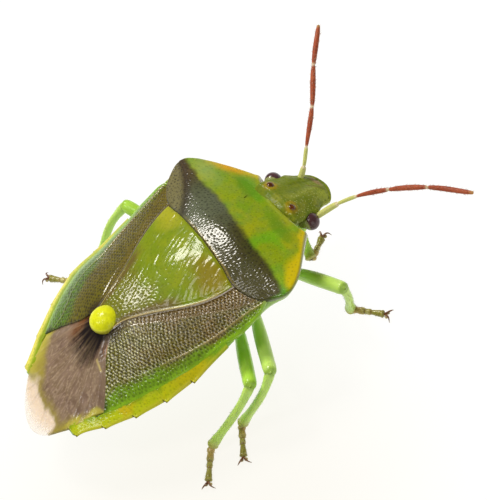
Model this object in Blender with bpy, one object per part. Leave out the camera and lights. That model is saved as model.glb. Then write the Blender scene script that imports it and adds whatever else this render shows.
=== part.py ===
"""A green shield bug at life size, standing in a walking pose.

Metres, +Z up. The head points to +Y and the bug's right side is +X. The figures below are in
the bug's own frame: x = 0 is its midline, y = 0 is the line between its shoulder corners and
z = 0 is the floor. The whole bug is then moved so that its box is centred over the origin.
"""

import math

import bmesh
import bpy
from mathutils import Matrix, Vector

MM = 0.001


def metres(points):
    """Millimetre figures as metres."""
    return [tuple(number * MM for number in point) for point in points]


# Clear space between neighbouring pieces
GAP = 0.25 * MM
HALF_GAP = GAP / 2
SMALL_GAP = 0.2 * MM

# Profiles along the body, from the tail forwards: place y, value
MARGIN_REACH = metres([
    (-8.3, 1.35), (-7.18, 1.54), (-6.38, 2.05), (-5.34, 2.64), (-4.34, 2.99), (-3.4, 3.07),
    (-2.4, 3.1), (-1.7, 3.11), (-1.0, 3.05), (-0.5, 3.08), (-0.25, 3.17), (0, 3.23),
    (0.24, 3.17), (0.46, 3.0), (0.76, 2.66), (1.06, 2.24), (1.36, 1.8), (1.66, 1.36),
])
MARGIN_HEIGHT = metres([
    (-8.3, 1.2), (-7.18, 1.8), (-6.38, 1.95), (-5.34, 2.2), (-4.34, 2.4), (-3.4, 2.47),
    (-2.4, 2.7), (-1.7, 2.86), (-0.9, 3.05), (-0.07, 3.18), (0.3, 3.12), (0.79, 2.92),
    (1.2, 2.78), (1.68, 2.56),
])
RIDGE_HEIGHT = metres([
    (-8.3, 1.26), (-7.18, 1.96), (-6.1, 2.5), (-4.9, 3.16), (-4.2, 3.42), (-3.05, 3.48),
    (-1.04, 3.6), (-0.4, 3.56), (0.5, 3.24), (1.6, 2.8),
])
KEEL_HEIGHT = metres([
    (-7.3, 0.86), (-6.4, 0.82), (-4.8, 0.82), (-3.0, 0.88), (-1.0, 1.2), (0.5, 1.3), (1.6, 1.42),
])
WING_DEPTH = metres([(-8.1, 0.28), (-7.2, 0.32), (-6.2, 0.5), (-1.0, 0.5)])
MARGIN_DEPTH = 0.32 * MM
MARGIN_TUCK = 0.3 * MM
EDGE_EASE = 0.05 * MM

# Angle between faces above which an edge is shown sharp, and reaches for merging and cutting
SHARP_EDGE = math.radians(35)
MERGE_REACH = 0.001 * MM
CUT_REACH = 0.01 * MM

# Pronotum outline, right half
PRONOTUM_FRONT_Y = 1.46 * MM
PRONOTUM_CORNER = (1.36 * MM, 1.66 * MM)
PRONOTUM_REAR = metres([(0, -0.87), (1.2, -0.93), (1.9, -1.0), (2.4, -0.86), (2.8, -0.62)])
PRONOTUM_SIDE = metres([
    (1.36, 1.66), (1.8, 1.36), (2.24, 1.06), (2.66, 0.76), (3.0, 0.46), (3.17, 0.24), (3.23, 0),
    (3.15, -0.3), (2.8, -0.62),
])
PRONOTUM_REACH = 3.23 * MM

# Scutellum: half-width against y, and the round knob at its tip
SCUTELLUM_REACH = metres([
    (-4.6, 0.5), (-4.0, 0.6), (-3.6, 0.83), (-3.0, 1.08), (-2.45, 1.38), (-1.7, 1.74),
    (-1.0, 1.86),
])
SCUTELLUM_BASE = 1.86 * MM
SCUTELLUM_END_BULGE = 0.6
KNOB_Y = -4.55 * MM
KNOB_RADIUS = 0.42 * MM
KNOB_HALF_HEIGHT = 0.34 * MM
KNOB_SINK = 0.04 * MM

# Line where the leathery part of the right forewing meets its membrane
MEMBRANE_LINE = metres([
    (0.64, -4.84), (1.06, -5.12), (1.36, -5.44), (1.56, -5.76), (1.72, -6.08),
])
MEMBRANE_INNER_Y = -5.14 * MM
MEMBRANE_INNER_SHARE = 0.22
MEMBRANE_SIDE = metres([(1.19, -6.8), (0.96, -7.16), (0.92, -7.45), (0.7, -7.84)])
WING_TIP_Y = -8.12 * MM
VEIN_SHARES = (0.14, 0.32, 0.47, 0.62, 0.77, 0.9)
VEIN_HALF_SHARE = 0.035
VEIN_HEIGHT = 0.07 * MM
VEIN_FADE_IN = 0.125
VEIN_FADE_OUT = 0.2

# Abdomen and its side strips
THORAX_REAR_Y = -2.15 * MM
THORAX_SHARE = 0.8
ABDOMEN_FRONT_Y = THORAX_REAR_Y - GAP
ABDOMEN_REAR_Y = -7.12 * MM
ABDOMEN_SHARE = 0.84
STRIP_WIDTH = metres([
    (-7.2, 0.4), (-6.3, 0.44), (-5.35, 0.43), (-4.72, 0.41), (-4.1, 0.34), (-3.4, 0.26),
    (-2.4, 0.14),
])
SEGMENT_CORNERS_Y = [number * MM for number in (-2.4, -3.57, -4.54, -5.5, -6.39, -7.19)]
SEGMENT_STATIONS = (0.1, 0.4, 0.75, 1.0)
STRIP_EASE = 0.03 * MM
TOOTH = 0.07 * MM
TOOTH_POWER = 3
GROOVE_DEPTH = 0.06 * MM
GROOVE_HALF_WIDTH = 0.08 * MM

# Head: its own frame has x across, y along the head from the neck and z out of its back
HEAD_ORIGIN = Vector((-0.06, 1.6, 2.84)) * MM
HEAD_PITCH = math.radians(37)
HEAD_YAW = math.radians(5.5)
HEAD_ROLL = math.radians(4.3)
HEAD_REACH = metres([
    (-0.6, 0.8), (0.3, 0.86), (0.75, 0.88), (1.0, 0.86), (1.25, 0.76), (1.5, 0.68), (1.7, 0.5),
])
HEAD_DEPTH = metres([(-0.6, 1.3), (0.6, 1.2), (1.0, 1.0), (1.4, 0.76), (1.9, 0.42)])
HEAD_CROWN = 0.14 * MM
HEAD_CROWN_SHARE = 0.8
HEAD_BELLY_POWER = 2.4
HEAD_EDGE = 0.28 * MM
HEAD_DROOP = 0.16 * MM
HEAD_TIP = 1.9 * MM
HEAD_BACK = -0.6 * MM
OCELLUS_X = 0.5 * MM
OCELLUS_Y = 0.3 * MM
OCELLUS_RADIUS = 0.13 * MM
OCELLUS_SINK = 0.3
EYE_AT = Vector((1.03, 0.6, -0.19)) * MM
EYE_RADII = Vector((0.25, 0.3, 0.29)) * MM

# Clear space cut into the head: behind the pronotum's front edge and round the feelers' roots
NECK_CUT_REACH = 2.4 * MM
NECK_CUT_LENGTH = 2.2 * MM
NECK_CUT_TOP = 5 * MM
NECK_CUT_FLOOR = 0.2 * MM
FEELER_CUT_BEFORE = 0.35 * MM
FEELER_CUT_AFTER = 0.4 * MM
FEELER_CUT_SIZE = 0.9

# Feelers: joints from the root to the tip
FEELER_JOINTS = {
    "left": metres([
        (-0.76, 2.3, 1.88), (-0.87, 2.87, 2.3), (-1.16, 3.29, 2.6), (-1.91, 4.13, 3.0),
        (-2.92, 4.92, 3.3), (-3.85, 5.74, 3.5),
    ]),
    "right": metres([
        (0.68, 2.3, 1.74), (0.85, 2.88, 2.1), (1.2, 3.455, 2.35), (1.92, 4.28, 2.65),
        (2.84, 5.16, 2.85), (3.98, 6.0, 2.95),
    ]),
}
FEELER_RADIUS = 0.235 * MM
FEELER_ROOT = 0.6
FEELER_WAIST = 0.7
FEELER_TIP = 0.4
FEELER_STATIONS = (0.0, 0.12, 0.35, 0.65, 0.88)
FEELER_SWELL_POWER = 0.6

# Beak, folded back under the body
BEAK_PATH = metres([
    (-0.1, 2.6, 1.0), (-0.06, 2.1, 0.98), (0, 1.5, 0.98), (0, 0.5, 0.84), (0, -0.6, 0.76),
])
BEAK_RADIUS = 0.2 * MM
BEAK_FRONT = 0.7
BEAK_TAPER = 0.45

# Legs: hip under the belly, knee, ankle and toe of each
LEG_JOINTS = {
    "fore_right": metres([(0.72, 0.5, 0.8), (3.3, 1.58, 1.86), (2.74, 1.46, 0.2), (3.62, 2.1, 0.2)]),
    "fore_left": metres([(-0.72, 0.5, 0.8), (-1.55, 2.02, 0.92), (0.4, 1.5, 0.2), (-0.04, 2.18, 0.2)]),
    "mid_right": metres([(0.85, -0.75, 0.78), (4.15, -1.71, 1.9), (3.76, -3.11, 0.2), (4.62, -3.64, 0.2)]),
    "mid_left": metres([(-0.85, -0.75, 0.78), (-4.08, -1.94, 2.0), (-4.4, -3.45, 0.2), (-4.75, -4.1, 0.2)]),
    "hind_right": metres([(0.9, -1.5, 0.76), (4.1, -2.42, 1.8), (3.75, -4.17, 0.2), (4.56, -4.86, 0.2)]),
    "hind_left": metres([(-0.9, -1.5, 0.76), (-3.6, -2.9, 1.5), (-4.2, -4.4, 0.2), (-5.0, -5.0, 0.2)]),
}
FEMUR_RADIUS = 0.26 * MM
TIBIA_RADIUS = 0.24 * MM
TARSUS_RADIUS = 0.22 * MM
JOINT_REACH = 0.22 * MM
CLAW_LENGTH = 0.46 * MM
CLAW_ROOT = 0.12 * MM
CLAW_DROP = 0.08 * MM
CLAW_RADIUS = 0.11 * MM
CLAW_TIP_RADIUS = 0.035 * MM
CLAW_STATIONS = (0, 0.3, 0.55, 0.8, 1.0)
CLAW_SPREAD = math.radians(42)
SHARP_FOLD = math.cos(math.radians(66))

# How each limb piece swells: share of its length, share of its radius
FEMUR_SWELL = (
    (0, 0.6), (0.03, 0.9), (0.09, 1.0), (0.14, 0.85), (0.19, 0.8), (0.29, 0.92), (0.43, 1.0),
    (0.57, 1.0), (0.71, 0.96), (0.83, 0.95), (0.91, 0.92), (0.97, 0.8), (1.0, 0.5),
)
TIBIA_SWELL = (
    (0, 0.5), (0.05, 0.85), (0.12, 0.95), (0.3, 0.9), (0.5, 0.9), (0.7, 0.96), (0.86, 1.05),
    (0.95, 1.0), (1.0, 0.6),
)
TARSUS_SWELL = (
    (0, 0.5), (0.08, 0.85), (0.2, 1.0), (0.42, 1.0), (0.48, 0.86), (0.56, 0.95), (0.66, 0.95),
    (0.72, 0.82), (0.82, 0.95), (0.95, 0.9), (1.0, 0.6),
)

ROUGHNESS = 0.35
COLOURS = {
    "green": (0.22, 0.38, 0.02, 1),
    "dark": (0.05, 0.05, 0.015, 1),
    "yellow_green": (0.42, 0.5, 0.02, 1),
    "knob": (0.6, 0.65, 0.01, 1),
    "membrane": (0.12, 0.07, 0.04, 1),
    "leg": (0.2, 0.5, 0.05, 1),
    "foot": (0.25, 0.2, 0.05, 1),
    "feeler": (0.3, 0.08, 0.05, 1),
    "eye": (0.05, 0.01, 0.02, 1),
    "belly": (0.3, 0.45, 0.1, 1),
}


# Curves and surfaces

def smooth(points, at):
    """Value at a place on a smooth curve through (place, value) points in rising order."""
    places = [point[0] for point in points]
    values = [point[1] for point in points]
    at = min(max(at, places[0]), places[-1])
    steps = [b - a for a, b in zip(places, places[1:])]
    rises = [(b - a) / step for a, b, step in zip(values, values[1:], steps)]
    slopes = [rises[0]]
    for i in range(1, len(rises)):
        before = steps[i - 1]
        after = steps[i]
        slopes.append((after * rises[i - 1] + before * rises[i]) / (before + after))
    slopes.append(rises[-1])
    i = 0
    while i < len(steps) - 1 and at > places[i + 1]:
        i += 1
    u = (at - places[i]) / steps[i]
    return (
        values[i] * (1 + 2 * u) * (1 - u) ** 2
        + values[i + 1] * u * u * (3 - 2 * u)
        + steps[i] * (slopes[i] * u * (1 - u) ** 2 - slopes[i + 1] * u * u * (1 - u))
    )


def path(points):
    """A smooth path through points, as a function of 0 to 1 along it."""
    lengths = [0.0]
    for a, b in zip(points, points[1:]):
        lengths.append(lengths[-1] + math.dist(a, b))
    axes = [list(zip(lengths, axis)) for axis in zip(*points)]

    def at(share):
        return tuple(smooth(axis, share * lengths[-1]) for axis in axes)

    return at


def mirrored(edge):
    """The same edge on the bug's left side."""
    def at(share):
        x, y = edge(share)
        return (-x, y)

    return at


def patch(front, rear, first, last):
    """A plan-view sheet between four edges; s runs from first to last and t from front to rear."""
    def at(s, t):
        place = []
        for axis in (0, 1):
            across = (1 - t) * front(s)[axis] + t * rear(s)[axis]
            along = (1 - s) * first(t)[axis] + s * last(t)[axis]
            corners = (
                (1 - s) * (1 - t) * front(0)[axis] + s * (1 - t) * front(1)[axis]
                + (1 - s) * t * rear(0)[axis] + s * t * rear(1)[axis]
            )
            place.append(across + along - corners)
        return tuple(place)

    return at


def shares(count):
    """Evenly spaced numbers from 0 to 1."""
    return [i / count for i in range(count + 1)]


def across_share(x, y):
    """How far out a place is, from 0 at the midline to 1 at the body's edge."""
    return min(abs(x) / smooth(MARGIN_REACH, y), 1.0)


def back_height(x, y):
    edge = smooth(MARGIN_HEIGHT, y)
    ridge = smooth(RIDGE_HEIGHT, y)
    return edge + (ridge - edge) * (1 - across_share(x, y) ** 2)


def belly_height(x, y):
    edge = smooth(MARGIN_HEIGHT, y) - MARGIN_DEPTH
    keel = smooth(KEEL_HEIGHT, y)
    return edge - (edge - keel) * (1 - across_share(x, y) ** 2)


def strip_inner(y):
    """Where the side strip's inner wall stands."""
    return smooth(MARGIN_REACH, y) - smooth(STRIP_WIDTH, y)


def wing_reach(y):
    """Outer edge of the folded forewing: the body's edge in front, then beside the strip."""
    front_reach = smooth(MARGIN_REACH, y) - EDGE_EASE
    return min(front_reach, strip_inner(y) - SMALL_GAP + max(y - THORAX_REAR_Y, 0))


def under_wing(x, y):
    return back_height(x, y) - smooth(WING_DEPTH, y)


def below_wing(x, y):
    return under_wing(x, y) - GAP


def rear_line(x):
    return smooth(PRONOTUM_REAR, abs(x))


def front_line(x):
    rise = PRONOTUM_CORNER[1] - PRONOTUM_FRONT_Y
    return PRONOTUM_FRONT_Y + rise * (x / PRONOTUM_CORNER[0]) ** 2


# Scene and mesh helpers

def material(colour_name):
    name = colour_name + "_surface"
    found = bpy.data.materials.get(name)
    if found:
        return found
    made = bpy.data.materials.new(name)
    made.use_nodes = True
    shader = made.node_tree.nodes["Principled BSDF"]
    shader.inputs["Base Color"].default_value = COLOURS[colour_name]
    shader.inputs["Roughness"].default_value = ROUGHNESS
    shader.inputs["Metallic"].default_value = 0.0
    made.diffuse_color = COLOURS[colour_name]
    return made


def add_object(name, mesh, home):
    made = bpy.data.objects.new(name, mesh)
    home.objects.link(made)
    return made


def object_from(name, form, home):
    """Turn a bmesh into an object with its faces pointing out."""
    bmesh.ops.recalc_face_normals(form, faces=form.faces)
    mesh = bpy.data.meshes.new(name)
    form.to_mesh(mesh)
    form.free()
    return add_object(name, mesh, home)


def as_cutter(thing):
    thing.hide_render = True
    thing.display_type = "WIRE"
    return thing


def finish(thing, colour_name):
    """Give a node its material, smooth shading and its place under the root."""
    thing.data.materials.clear()
    thing.data.materials.append(material(colour_name))
    thing.data.shade_smooth()
    thing.data.set_sharp_from_angle(angle=SHARP_EDGE)
    thing.parent = root
    return thing


def no_lift(s, t):
    return 0


def plate(name, sheet, top, bottom, across, along, home, under=None, ease=EDGE_EASE, lift=no_lift):
    """A closed plate: a plan-view sheet above, another or the same below, joined at the rim."""
    form = bmesh.new()
    layers = []
    faces = ((top, sheet, -ease, lift), (bottom, under or sheet, ease, no_lift))
    for height, plan, inward, raised in faces:
        rows = []
        for t in along:
            row = []
            for s in across:
                x, y = plan(s, t)
                on_rim = s in (across[0], across[-1]) or t in (along[0], along[-1])
                z = height(x, y) + (inward if on_rim else raised(s, t))
                row.append(form.verts.new((x, y, z)))
            rows.append(row)
        layers.append(rows)
    last_row = len(along) - 1
    last_column = len(across) - 1
    for rows in layers:
        for j in range(last_row):
            for i in range(last_column):
                a, b = rows[j][i], rows[j][i + 1]
                c, d = rows[j + 1][i + 1], rows[j + 1][i]
                form.faces.new((a, b, c))
                form.faces.new((a, c, d))
    rim = [(0, i) for i in range(last_column)]
    rim += [(j, last_column) for j in range(last_row)]
    rim += [(last_row, i) for i in range(last_column, 0, -1)]
    rim += [(j, 0) for j in range(last_row, 0, -1)]
    upper, lower = layers
    for (j, i), (k, m) in zip(rim, rim[1:] + rim[:1]):
        form.faces.new((upper[j][i], upper[k][m], lower[k][m], lower[j][i]))
    return object_from(name, form, home)


def evaluated_mesh(thing):
    graph = bpy.context.evaluated_depsgraph_get()
    return bpy.data.meshes.new_from_object(thing.evaluated_get(graph))


def keep_largest(mesh):
    """Drop all but the largest connected surface of a mesh."""
    form = bmesh.new()
    form.from_mesh(mesh)
    left = set(form.verts)
    groups = []
    while left:
        group = set()
        edge_of_group = [left.pop()]
        while edge_of_group:
            vert = edge_of_group.pop()
            group.add(vert)
            for edge in vert.link_edges:
                other = edge.other_vert(vert)
                if other in left:
                    left.remove(other)
                    edge_of_group.append(other)
        groups.append(group)
    groups.sort(key=len)
    for group in groups[:-1]:
        bmesh.ops.delete(form, geom=list(group), context="VERTS")
    form.to_mesh(mesh)
    form.free()


def apply_boolean(thing, operation, others=None, cutter=None):
    """Join or cut, replace the object's mesh with the result and keep its largest surface."""
    step = thing.modifiers.new("boolean", "BOOLEAN")
    step.operation = operation
    step.solver = "EXACT"
    if cutter:
        step.object = cutter
    else:
        step.operand_type = "COLLECTION"
        step.collection = others
    mesh = evaluated_mesh(thing)
    thing.modifiers.clear()
    thing.data = mesh
    keep_largest(mesh)


def join(thing, pieces):
    """One union of a mesh with further closed meshes, which are then removed."""
    others = bpy.data.collections.new("to_join")
    bpy.context.scene.collection.children.link(others)
    for piece in pieces:
        for home in list(piece.users_collection):
            home.objects.unlink(piece)
        others.objects.link(piece)
    bpy.context.view_layer.update()
    apply_boolean(thing, "UNION", others=others)
    for piece in list(others.objects):
        bpy.data.objects.remove(piece)
    bpy.data.collections.remove(others)


def tube(name, points, radii, home, fineness=2):
    """A closed tube through points, with a radius at each, as a mesh."""
    curve = bpy.data.curves.new(name, "CURVE")
    curve.dimensions = "3D"
    curve.bevel_depth = MM
    curve.bevel_resolution = fineness
    curve.use_fill_caps = True
    spline = curve.splines.new("POLY")
    spline.points.add(len(points) - 1)
    for point, place, radius in zip(spline.points, points, radii):
        point.co = (*place, 1.0)
        point.radius = radius / MM
    draft = add_object(name + "_path", curve, home)
    bpy.context.view_layer.update()
    mesh = evaluated_mesh(draft)
    form = bmesh.new()
    form.from_mesh(mesh)
    bmesh.ops.remove_doubles(form, verts=form.verts, dist=MERGE_REACH)
    bmesh.ops.recalc_face_normals(form, faces=form.faces)
    form.to_mesh(mesh)
    form.free()
    mesh.name = name
    made = add_object(name, mesh, home)
    made.matrix_world = draft.matrix_world
    bpy.data.objects.remove(draft)
    return made


def ball(name, radii, frame, home, rings=10, sides=16):
    """A stretched ball, placed by a matrix."""
    form = bmesh.new()
    bmesh.ops.create_uvsphere(form, u_segments=sides, v_segments=rings, radius=1.0)
    bmesh.ops.transform(form, matrix=frame @ Matrix.Diagonal((*radii, 1.0)), verts=form.verts)
    return object_from(name, form, home)


def slice_off(thing, at, normal):
    """Cut away what lies beyond a plane and close the cut with one flat face."""
    form = bmesh.new()
    form.from_mesh(thing.data)
    whole = form.verts[:] + form.edges[:] + form.faces[:]
    cut = bmesh.ops.bisect_plane(
        form, geom=whole, dist=CUT_REACH, plane_co=at, plane_no=normal, clear_outer=True,
    )
    edges = [piece for piece in cut["geom_cut"] if isinstance(piece, bmesh.types.BMEdge)]
    bmesh.ops.holes_fill(form, edges=edges, sides=0)
    bmesh.ops.recalc_face_normals(form, faces=form.faces)
    form.to_mesh(thing.data)
    form.free()


# Body plates

def make_pronotum():
    corner_x = PRONOTUM_CORNER[0]
    rear_x = PRONOTUM_REAR[-1][0]
    side = path(PRONOTUM_SIDE)

    def front(s):
        x = corner_x * (2 * s - 1)
        return (x, front_line(x))

    def rear(s):
        x = rear_x * (2 * s - 1)
        return (x, rear_line(x))

    sheet = patch(front, rear, mirrored(side), side)

    def under(s, t):
        x, y = sheet(s, t)
        return (x * (1 - MARGIN_TUCK / PRONOTUM_REACH), y)

    stations = (shares(22), shares(13))
    made = plate("pronotum", sheet, back_height, belly_height, *stations, parts, under)
    return finish(made, "green")


def make_thorax():
    def reach(y):
        return THORAX_SHARE * smooth(MARGIN_REACH, y)

    def front(s):
        x = reach(PRONOTUM_REAR[-1][1]) * (2 * s - 1)
        return (x, rear_line(x) - GAP)

    def rear(s):
        return (reach(THORAX_REAR_Y) * (2 * s - 1), THORAX_REAR_Y)

    def side(t):
        start = front(1)
        y = start[1] + (THORAX_REAR_Y - start[1]) * t
        return (start[0] + (rear(1)[0] - start[0]) * t, y)

    sheet = patch(front, rear, mirrored(side), side)
    made = plate("thorax", sheet, below_wing, belly_height, shares(14), shares(5), parts)
    return finish(made, "belly")


def scutellum_side(t):
    """Right edge of the scutellum, from its base corner to the start of the knob."""
    start = rear_line(SCUTELLUM_BASE) - GAP
    y = start + (KNOB_Y - start) * t
    return (smooth(SCUTELLUM_REACH, y) - HALF_GAP, y)


def make_scutellum():
    base_x = scutellum_side(0)[0]
    end_x, end_y = scutellum_side(1)

    def front(s):
        x = base_x * (2 * s - 1)
        return (x, rear_line(x) - GAP)

    def rear(s):
        x = end_x * (2 * s - 1)
        return (x, end_y - math.sqrt(max(end_x ** 2 - x ** 2, 0)) * SCUTELLUM_END_BULGE)

    sheet = patch(front, rear, mirrored(scutellum_side), scutellum_side)
    made = plate("scutellum", sheet, back_height, under_wing, shares(14), shares(16), parts)
    height = back_height(0, KNOB_Y) - KNOB_SINK
    frame = Matrix.Translation((0, KNOB_Y, height))
    knob = ball("knob", (KNOB_RADIUS, KNOB_RADIUS, KNOB_HALF_HEIGHT), frame, parts)
    join(made, [knob])
    return finish(made, "yellow_green")


def membrane_line(share):
    return path(MEMBRANE_LINE)(share)


def make_corium(side_name, sign):
    """The leathery part of one forewing."""
    start_x = SCUTELLUM_BASE + HALF_GAP
    front_y = rear_line(PRONOTUM_REAR[-1][0]) - GAP
    front_end = (wing_reach(front_y), front_y)
    rear_end = membrane_line(1)

    def front(s):
        x = start_x + (front_end[0] - start_x) * s
        return (sign * x, rear_line(x) - GAP)

    def rear(s):
        x, y = membrane_line(s)
        y += HALF_GAP
        return (sign * min(x, wing_reach(y)), y)

    def inner(t):
        start_y = front(0)[1]
        end_x, end_y = rear(0)
        y = start_y + (end_y - start_y) * t
        if y < KNOB_Y:
            return (end_x, y)
        return (sign * (max(smooth(SCUTELLUM_REACH, y), KNOB_RADIUS + HALF_GAP) + HALF_GAP), y)

    def outer(t):
        y = front_end[1] + (rear_end[1] + HALF_GAP - front_end[1]) * t
        return (sign * wing_reach(y), y)

    sheet = patch(front, rear, inner, outer)
    name = "corium_" + side_name
    made = plate(name, sheet, back_height, under_wing, shares(10), shares(18), parts)
    return finish(made, "dark")


def make_membrane(side_name, sign):
    """The thin rear part of one forewing, with its main veins raised on it."""
    line_start = membrane_line(0)
    inner_x = HALF_GAP

    def front(s):
        if s < MEMBRANE_INNER_SHARE:
            share = s / MEMBRANE_INNER_SHARE
            x = inner_x + (line_start[0] - inner_x) * share
            rise = line_start[1] - HALF_GAP - MEMBRANE_INNER_Y
            return (sign * x, MEMBRANE_INNER_Y + rise * share ** 3)
        x, y = membrane_line((s - MEMBRANE_INNER_SHARE) / (1 - MEMBRANE_INNER_SHARE))
        y -= HALF_GAP
        return (sign * min(x, wing_reach(y)), y)

    def rear(s):
        end_x, end_y = MEMBRANE_SIDE[-1]
        x = inner_x + (end_x - inner_x) * s
        return (sign * x, WING_TIP_Y + (end_y - WING_TIP_Y) * s ** 2)

    def inner(t):
        return (sign * inner_x, MEMBRANE_INNER_Y + (WING_TIP_Y - MEMBRANE_INNER_Y) * t)

    side = path([(front(1)[0] * sign, front(1)[1])] + MEMBRANE_SIDE)

    def outer(t):
        x, y = side(t)
        return (sign * x, y)

    across = [0.0, 1.0]
    for vein in VEIN_SHARES:
        across += [vein - VEIN_HALF_SHARE, vein, vein + VEIN_HALF_SHARE]
    across.sort()

    def vein_lift(s, t):
        fade = min(1, t / VEIN_FADE_IN, (1 - t) / VEIN_FADE_OUT)
        return VEIN_HEIGHT * fade if s in VEIN_SHARES else 0

    name = "membrane_" + side_name
    sheet = patch(front, rear, inner, outer)
    stations = (across, shares(12))
    made = plate(name, sheet, back_height, under_wing, *stations, parts, lift=vein_lift)
    return finish(made, "membrane")


def margin_with_teeth(y):
    """Reach of the body's edge, with a small tooth at the rear of each segment."""
    reach = smooth(MARGIN_REACH, y)
    for front, rear in zip(SEGMENT_CORNERS_Y, SEGMENT_CORNERS_Y[1:]):
        if rear <= y < front:
            return reach + TOOTH * ((front - y) / (front - rear)) ** TOOTH_POWER
    return reach


def make_strip(side_name, sign):
    """The flat side strip of the abdomen that shows beside the wing."""
    front_y = SEGMENT_CORNERS_Y[0]
    rear_y = SEGMENT_CORNERS_Y[-1]
    along = []
    for front, rear in zip(SEGMENT_CORNERS_Y, SEGMENT_CORNERS_Y[1:]):
        for share in SEGMENT_STATIONS:
            along.append((front + (rear - front) * share - front_y) / (rear_y - front_y))
    along[0] = 0.0

    def edges(t):
        y = front_y + (rear_y - front_y) * t
        return strip_inner(y), margin_with_teeth(y), y

    def sheet(s, t):
        inner, outer, y = edges(t)
        return (sign * (inner + (outer - inner) * s), y)

    def under(s, t):
        inner, outer, y = edges(t)
        tuck = min(MARGIN_TUCK, (outer - inner) / 2)
        return (sign * (inner + (outer - tuck - inner) * s), y)

    name = "side_strip_" + side_name
    stations = (shares(3), along)
    made = plate(name, sheet, back_height, belly_height, *stations, parts, under, STRIP_EASE)
    return finish(made, "yellow_green")


def make_abdomen():
    def reach(y):
        return min(strip_inner(y) - GAP, ABDOMEN_SHARE * smooth(MARGIN_REACH, y))

    def sheet(s, t):
        y = ABDOMEN_FRONT_Y + (ABDOMEN_REAR_Y - ABDOMEN_FRONT_Y) * t
        return (reach(y) * (2 * s - 1), y)

    def grooved(x, y):
        near = min(abs(y - corner) for corner in SEGMENT_CORNERS_Y)
        return belly_height(x, y) + GROOVE_DEPTH * max(1 - near / GROOVE_HALF_WIDTH, 0)

    places = [ABDOMEN_FRONT_Y]
    for front, rear in zip(SEGMENT_CORNERS_Y, SEGMENT_CORNERS_Y[1:-1]):
        if front > ABDOMEN_FRONT_Y - GROOVE_HALF_WIDTH:
            front = ABDOMEN_FRONT_Y - GROOVE_HALF_WIDTH
        places += [(front + rear) / 2, rear + GROOVE_HALF_WIDTH, rear, rear - GROOVE_HALF_WIDTH]
    places += [(SEGMENT_CORNERS_Y[-2] + ABDOMEN_REAR_Y) / 2, ABDOMEN_REAR_Y]
    along = [(y - ABDOMEN_FRONT_Y) / (ABDOMEN_REAR_Y - ABDOMEN_FRONT_Y) for y in places]
    made = plate("abdomen", sheet, below_wing, grooved, shares(12), along, parts)
    return finish(made, "belly")


# Head, eyes, feelers and beak

def head_frame():
    turn = (
        Matrix.Rotation(-HEAD_PITCH, 4, "X")
        @ Matrix.Rotation(HEAD_YAW, 4, "Z")
        @ Matrix.Rotation(HEAD_ROLL, 4, "Y")
    )
    return Matrix.Translation(HEAD_ORIGIN) @ turn


def head_share(x, y):
    return min(abs(x) / smooth(HEAD_REACH, y), 1.0)


def head_top(x, y):
    droop = HEAD_DROOP * max(y / HEAD_TIP, 0) ** 3
    return HEAD_CROWN * (HEAD_CROWN_SHARE - head_share(x, y) ** 2) - droop


def head_bottom(x, y):
    depth = smooth(HEAD_DEPTH, y)
    return -HEAD_EDGE - (depth - HEAD_EDGE) * (1 - head_share(x, y) ** HEAD_BELLY_POWER)


def make_head():
    def front(s):
        return (smooth(HEAD_REACH, HEAD_BACK) * (2 * s - 1), HEAD_BACK)

    end = HEAD_REACH[-1][0]

    def side(t):
        y = HEAD_BACK + (end - HEAD_BACK) * t
        return (smooth(HEAD_REACH, y), y)

    def rear(s):
        x = HEAD_REACH[-1][1] * (2 * s - 1)
        round_off = math.sqrt(max(1 - (2 * s - 1) ** 2, 0))
        return (x, end + (HEAD_TIP - end) * round_off)

    sheet = patch(front, rear, mirrored(side), side)
    made = plate("head", sheet, head_top, head_bottom, shares(18), shares(14), parts)
    made.data.transform(head_frame())
    bumps = []
    for sign in (-1, 1):
        at = Vector((sign * OCELLUS_X, OCELLUS_Y, 0))
        at.z = head_top(at.x, at.y) - OCELLUS_RADIUS * OCELLUS_SINK
        frame = head_frame() @ Matrix.Translation(at)
        bumps.append(ball("ocellus", [OCELLUS_RADIUS] * 3, frame, parts, rings=6, sides=10))
    join(made, bumps)
    for cutter in head_cutters():
        apply_boolean(made, "DIFFERENCE", cutter=cutter)
    return finish(made, "green")


def head_cutters():
    """Clear space in the head for the pronotum, the eyes and the roots of the feelers."""
    def behind(s, t):
        x = NECK_CUT_REACH * (2 * s - 1)
        front = front_line(x) + SMALL_GAP
        return (x, front - NECK_CUT_LENGTH * (1 - t))

    def high(x, y):
        return NECK_CUT_TOP

    def low(x, y):
        return NECK_CUT_FLOOR

    found = [plate("neck_cutter", behind, high, low, shares(12), [0, 1], cutters)]
    for side_name, sign in (("left", -1), ("right", 1)):
        radii = EYE_RADII + Vector([SMALL_GAP] * 3)
        name = "eye_cutter_" + side_name
        found.append(ball(name, radii, eye_frame(sign), cutters))
        root_at, tip_at = (Vector(point) for point in FEELER_JOINTS[side_name][:2])
        along = (tip_at - root_at).normalized()
        ends = [root_at - along * FEELER_CUT_BEFORE, tip_at + along * FEELER_CUT_AFTER]
        radius = FEELER_RADIUS * FEELER_CUT_SIZE + SMALL_GAP
        name = "feeler_cutter_" + side_name
        found.append(tube(name, ends, [radius, radius], cutters, fineness=3))
    for cutter in found:
        as_cutter(cutter)
    return found


def eye_frame(sign):
    at = Vector((sign * EYE_AT.x, EYE_AT.y, EYE_AT.z))
    return head_frame() @ Matrix.Translation(at)


def make_eye(side_name, sign):
    made = ball("eye_" + side_name, EYE_RADII, eye_frame(sign), parts)
    return finish(made, "eye")


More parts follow.
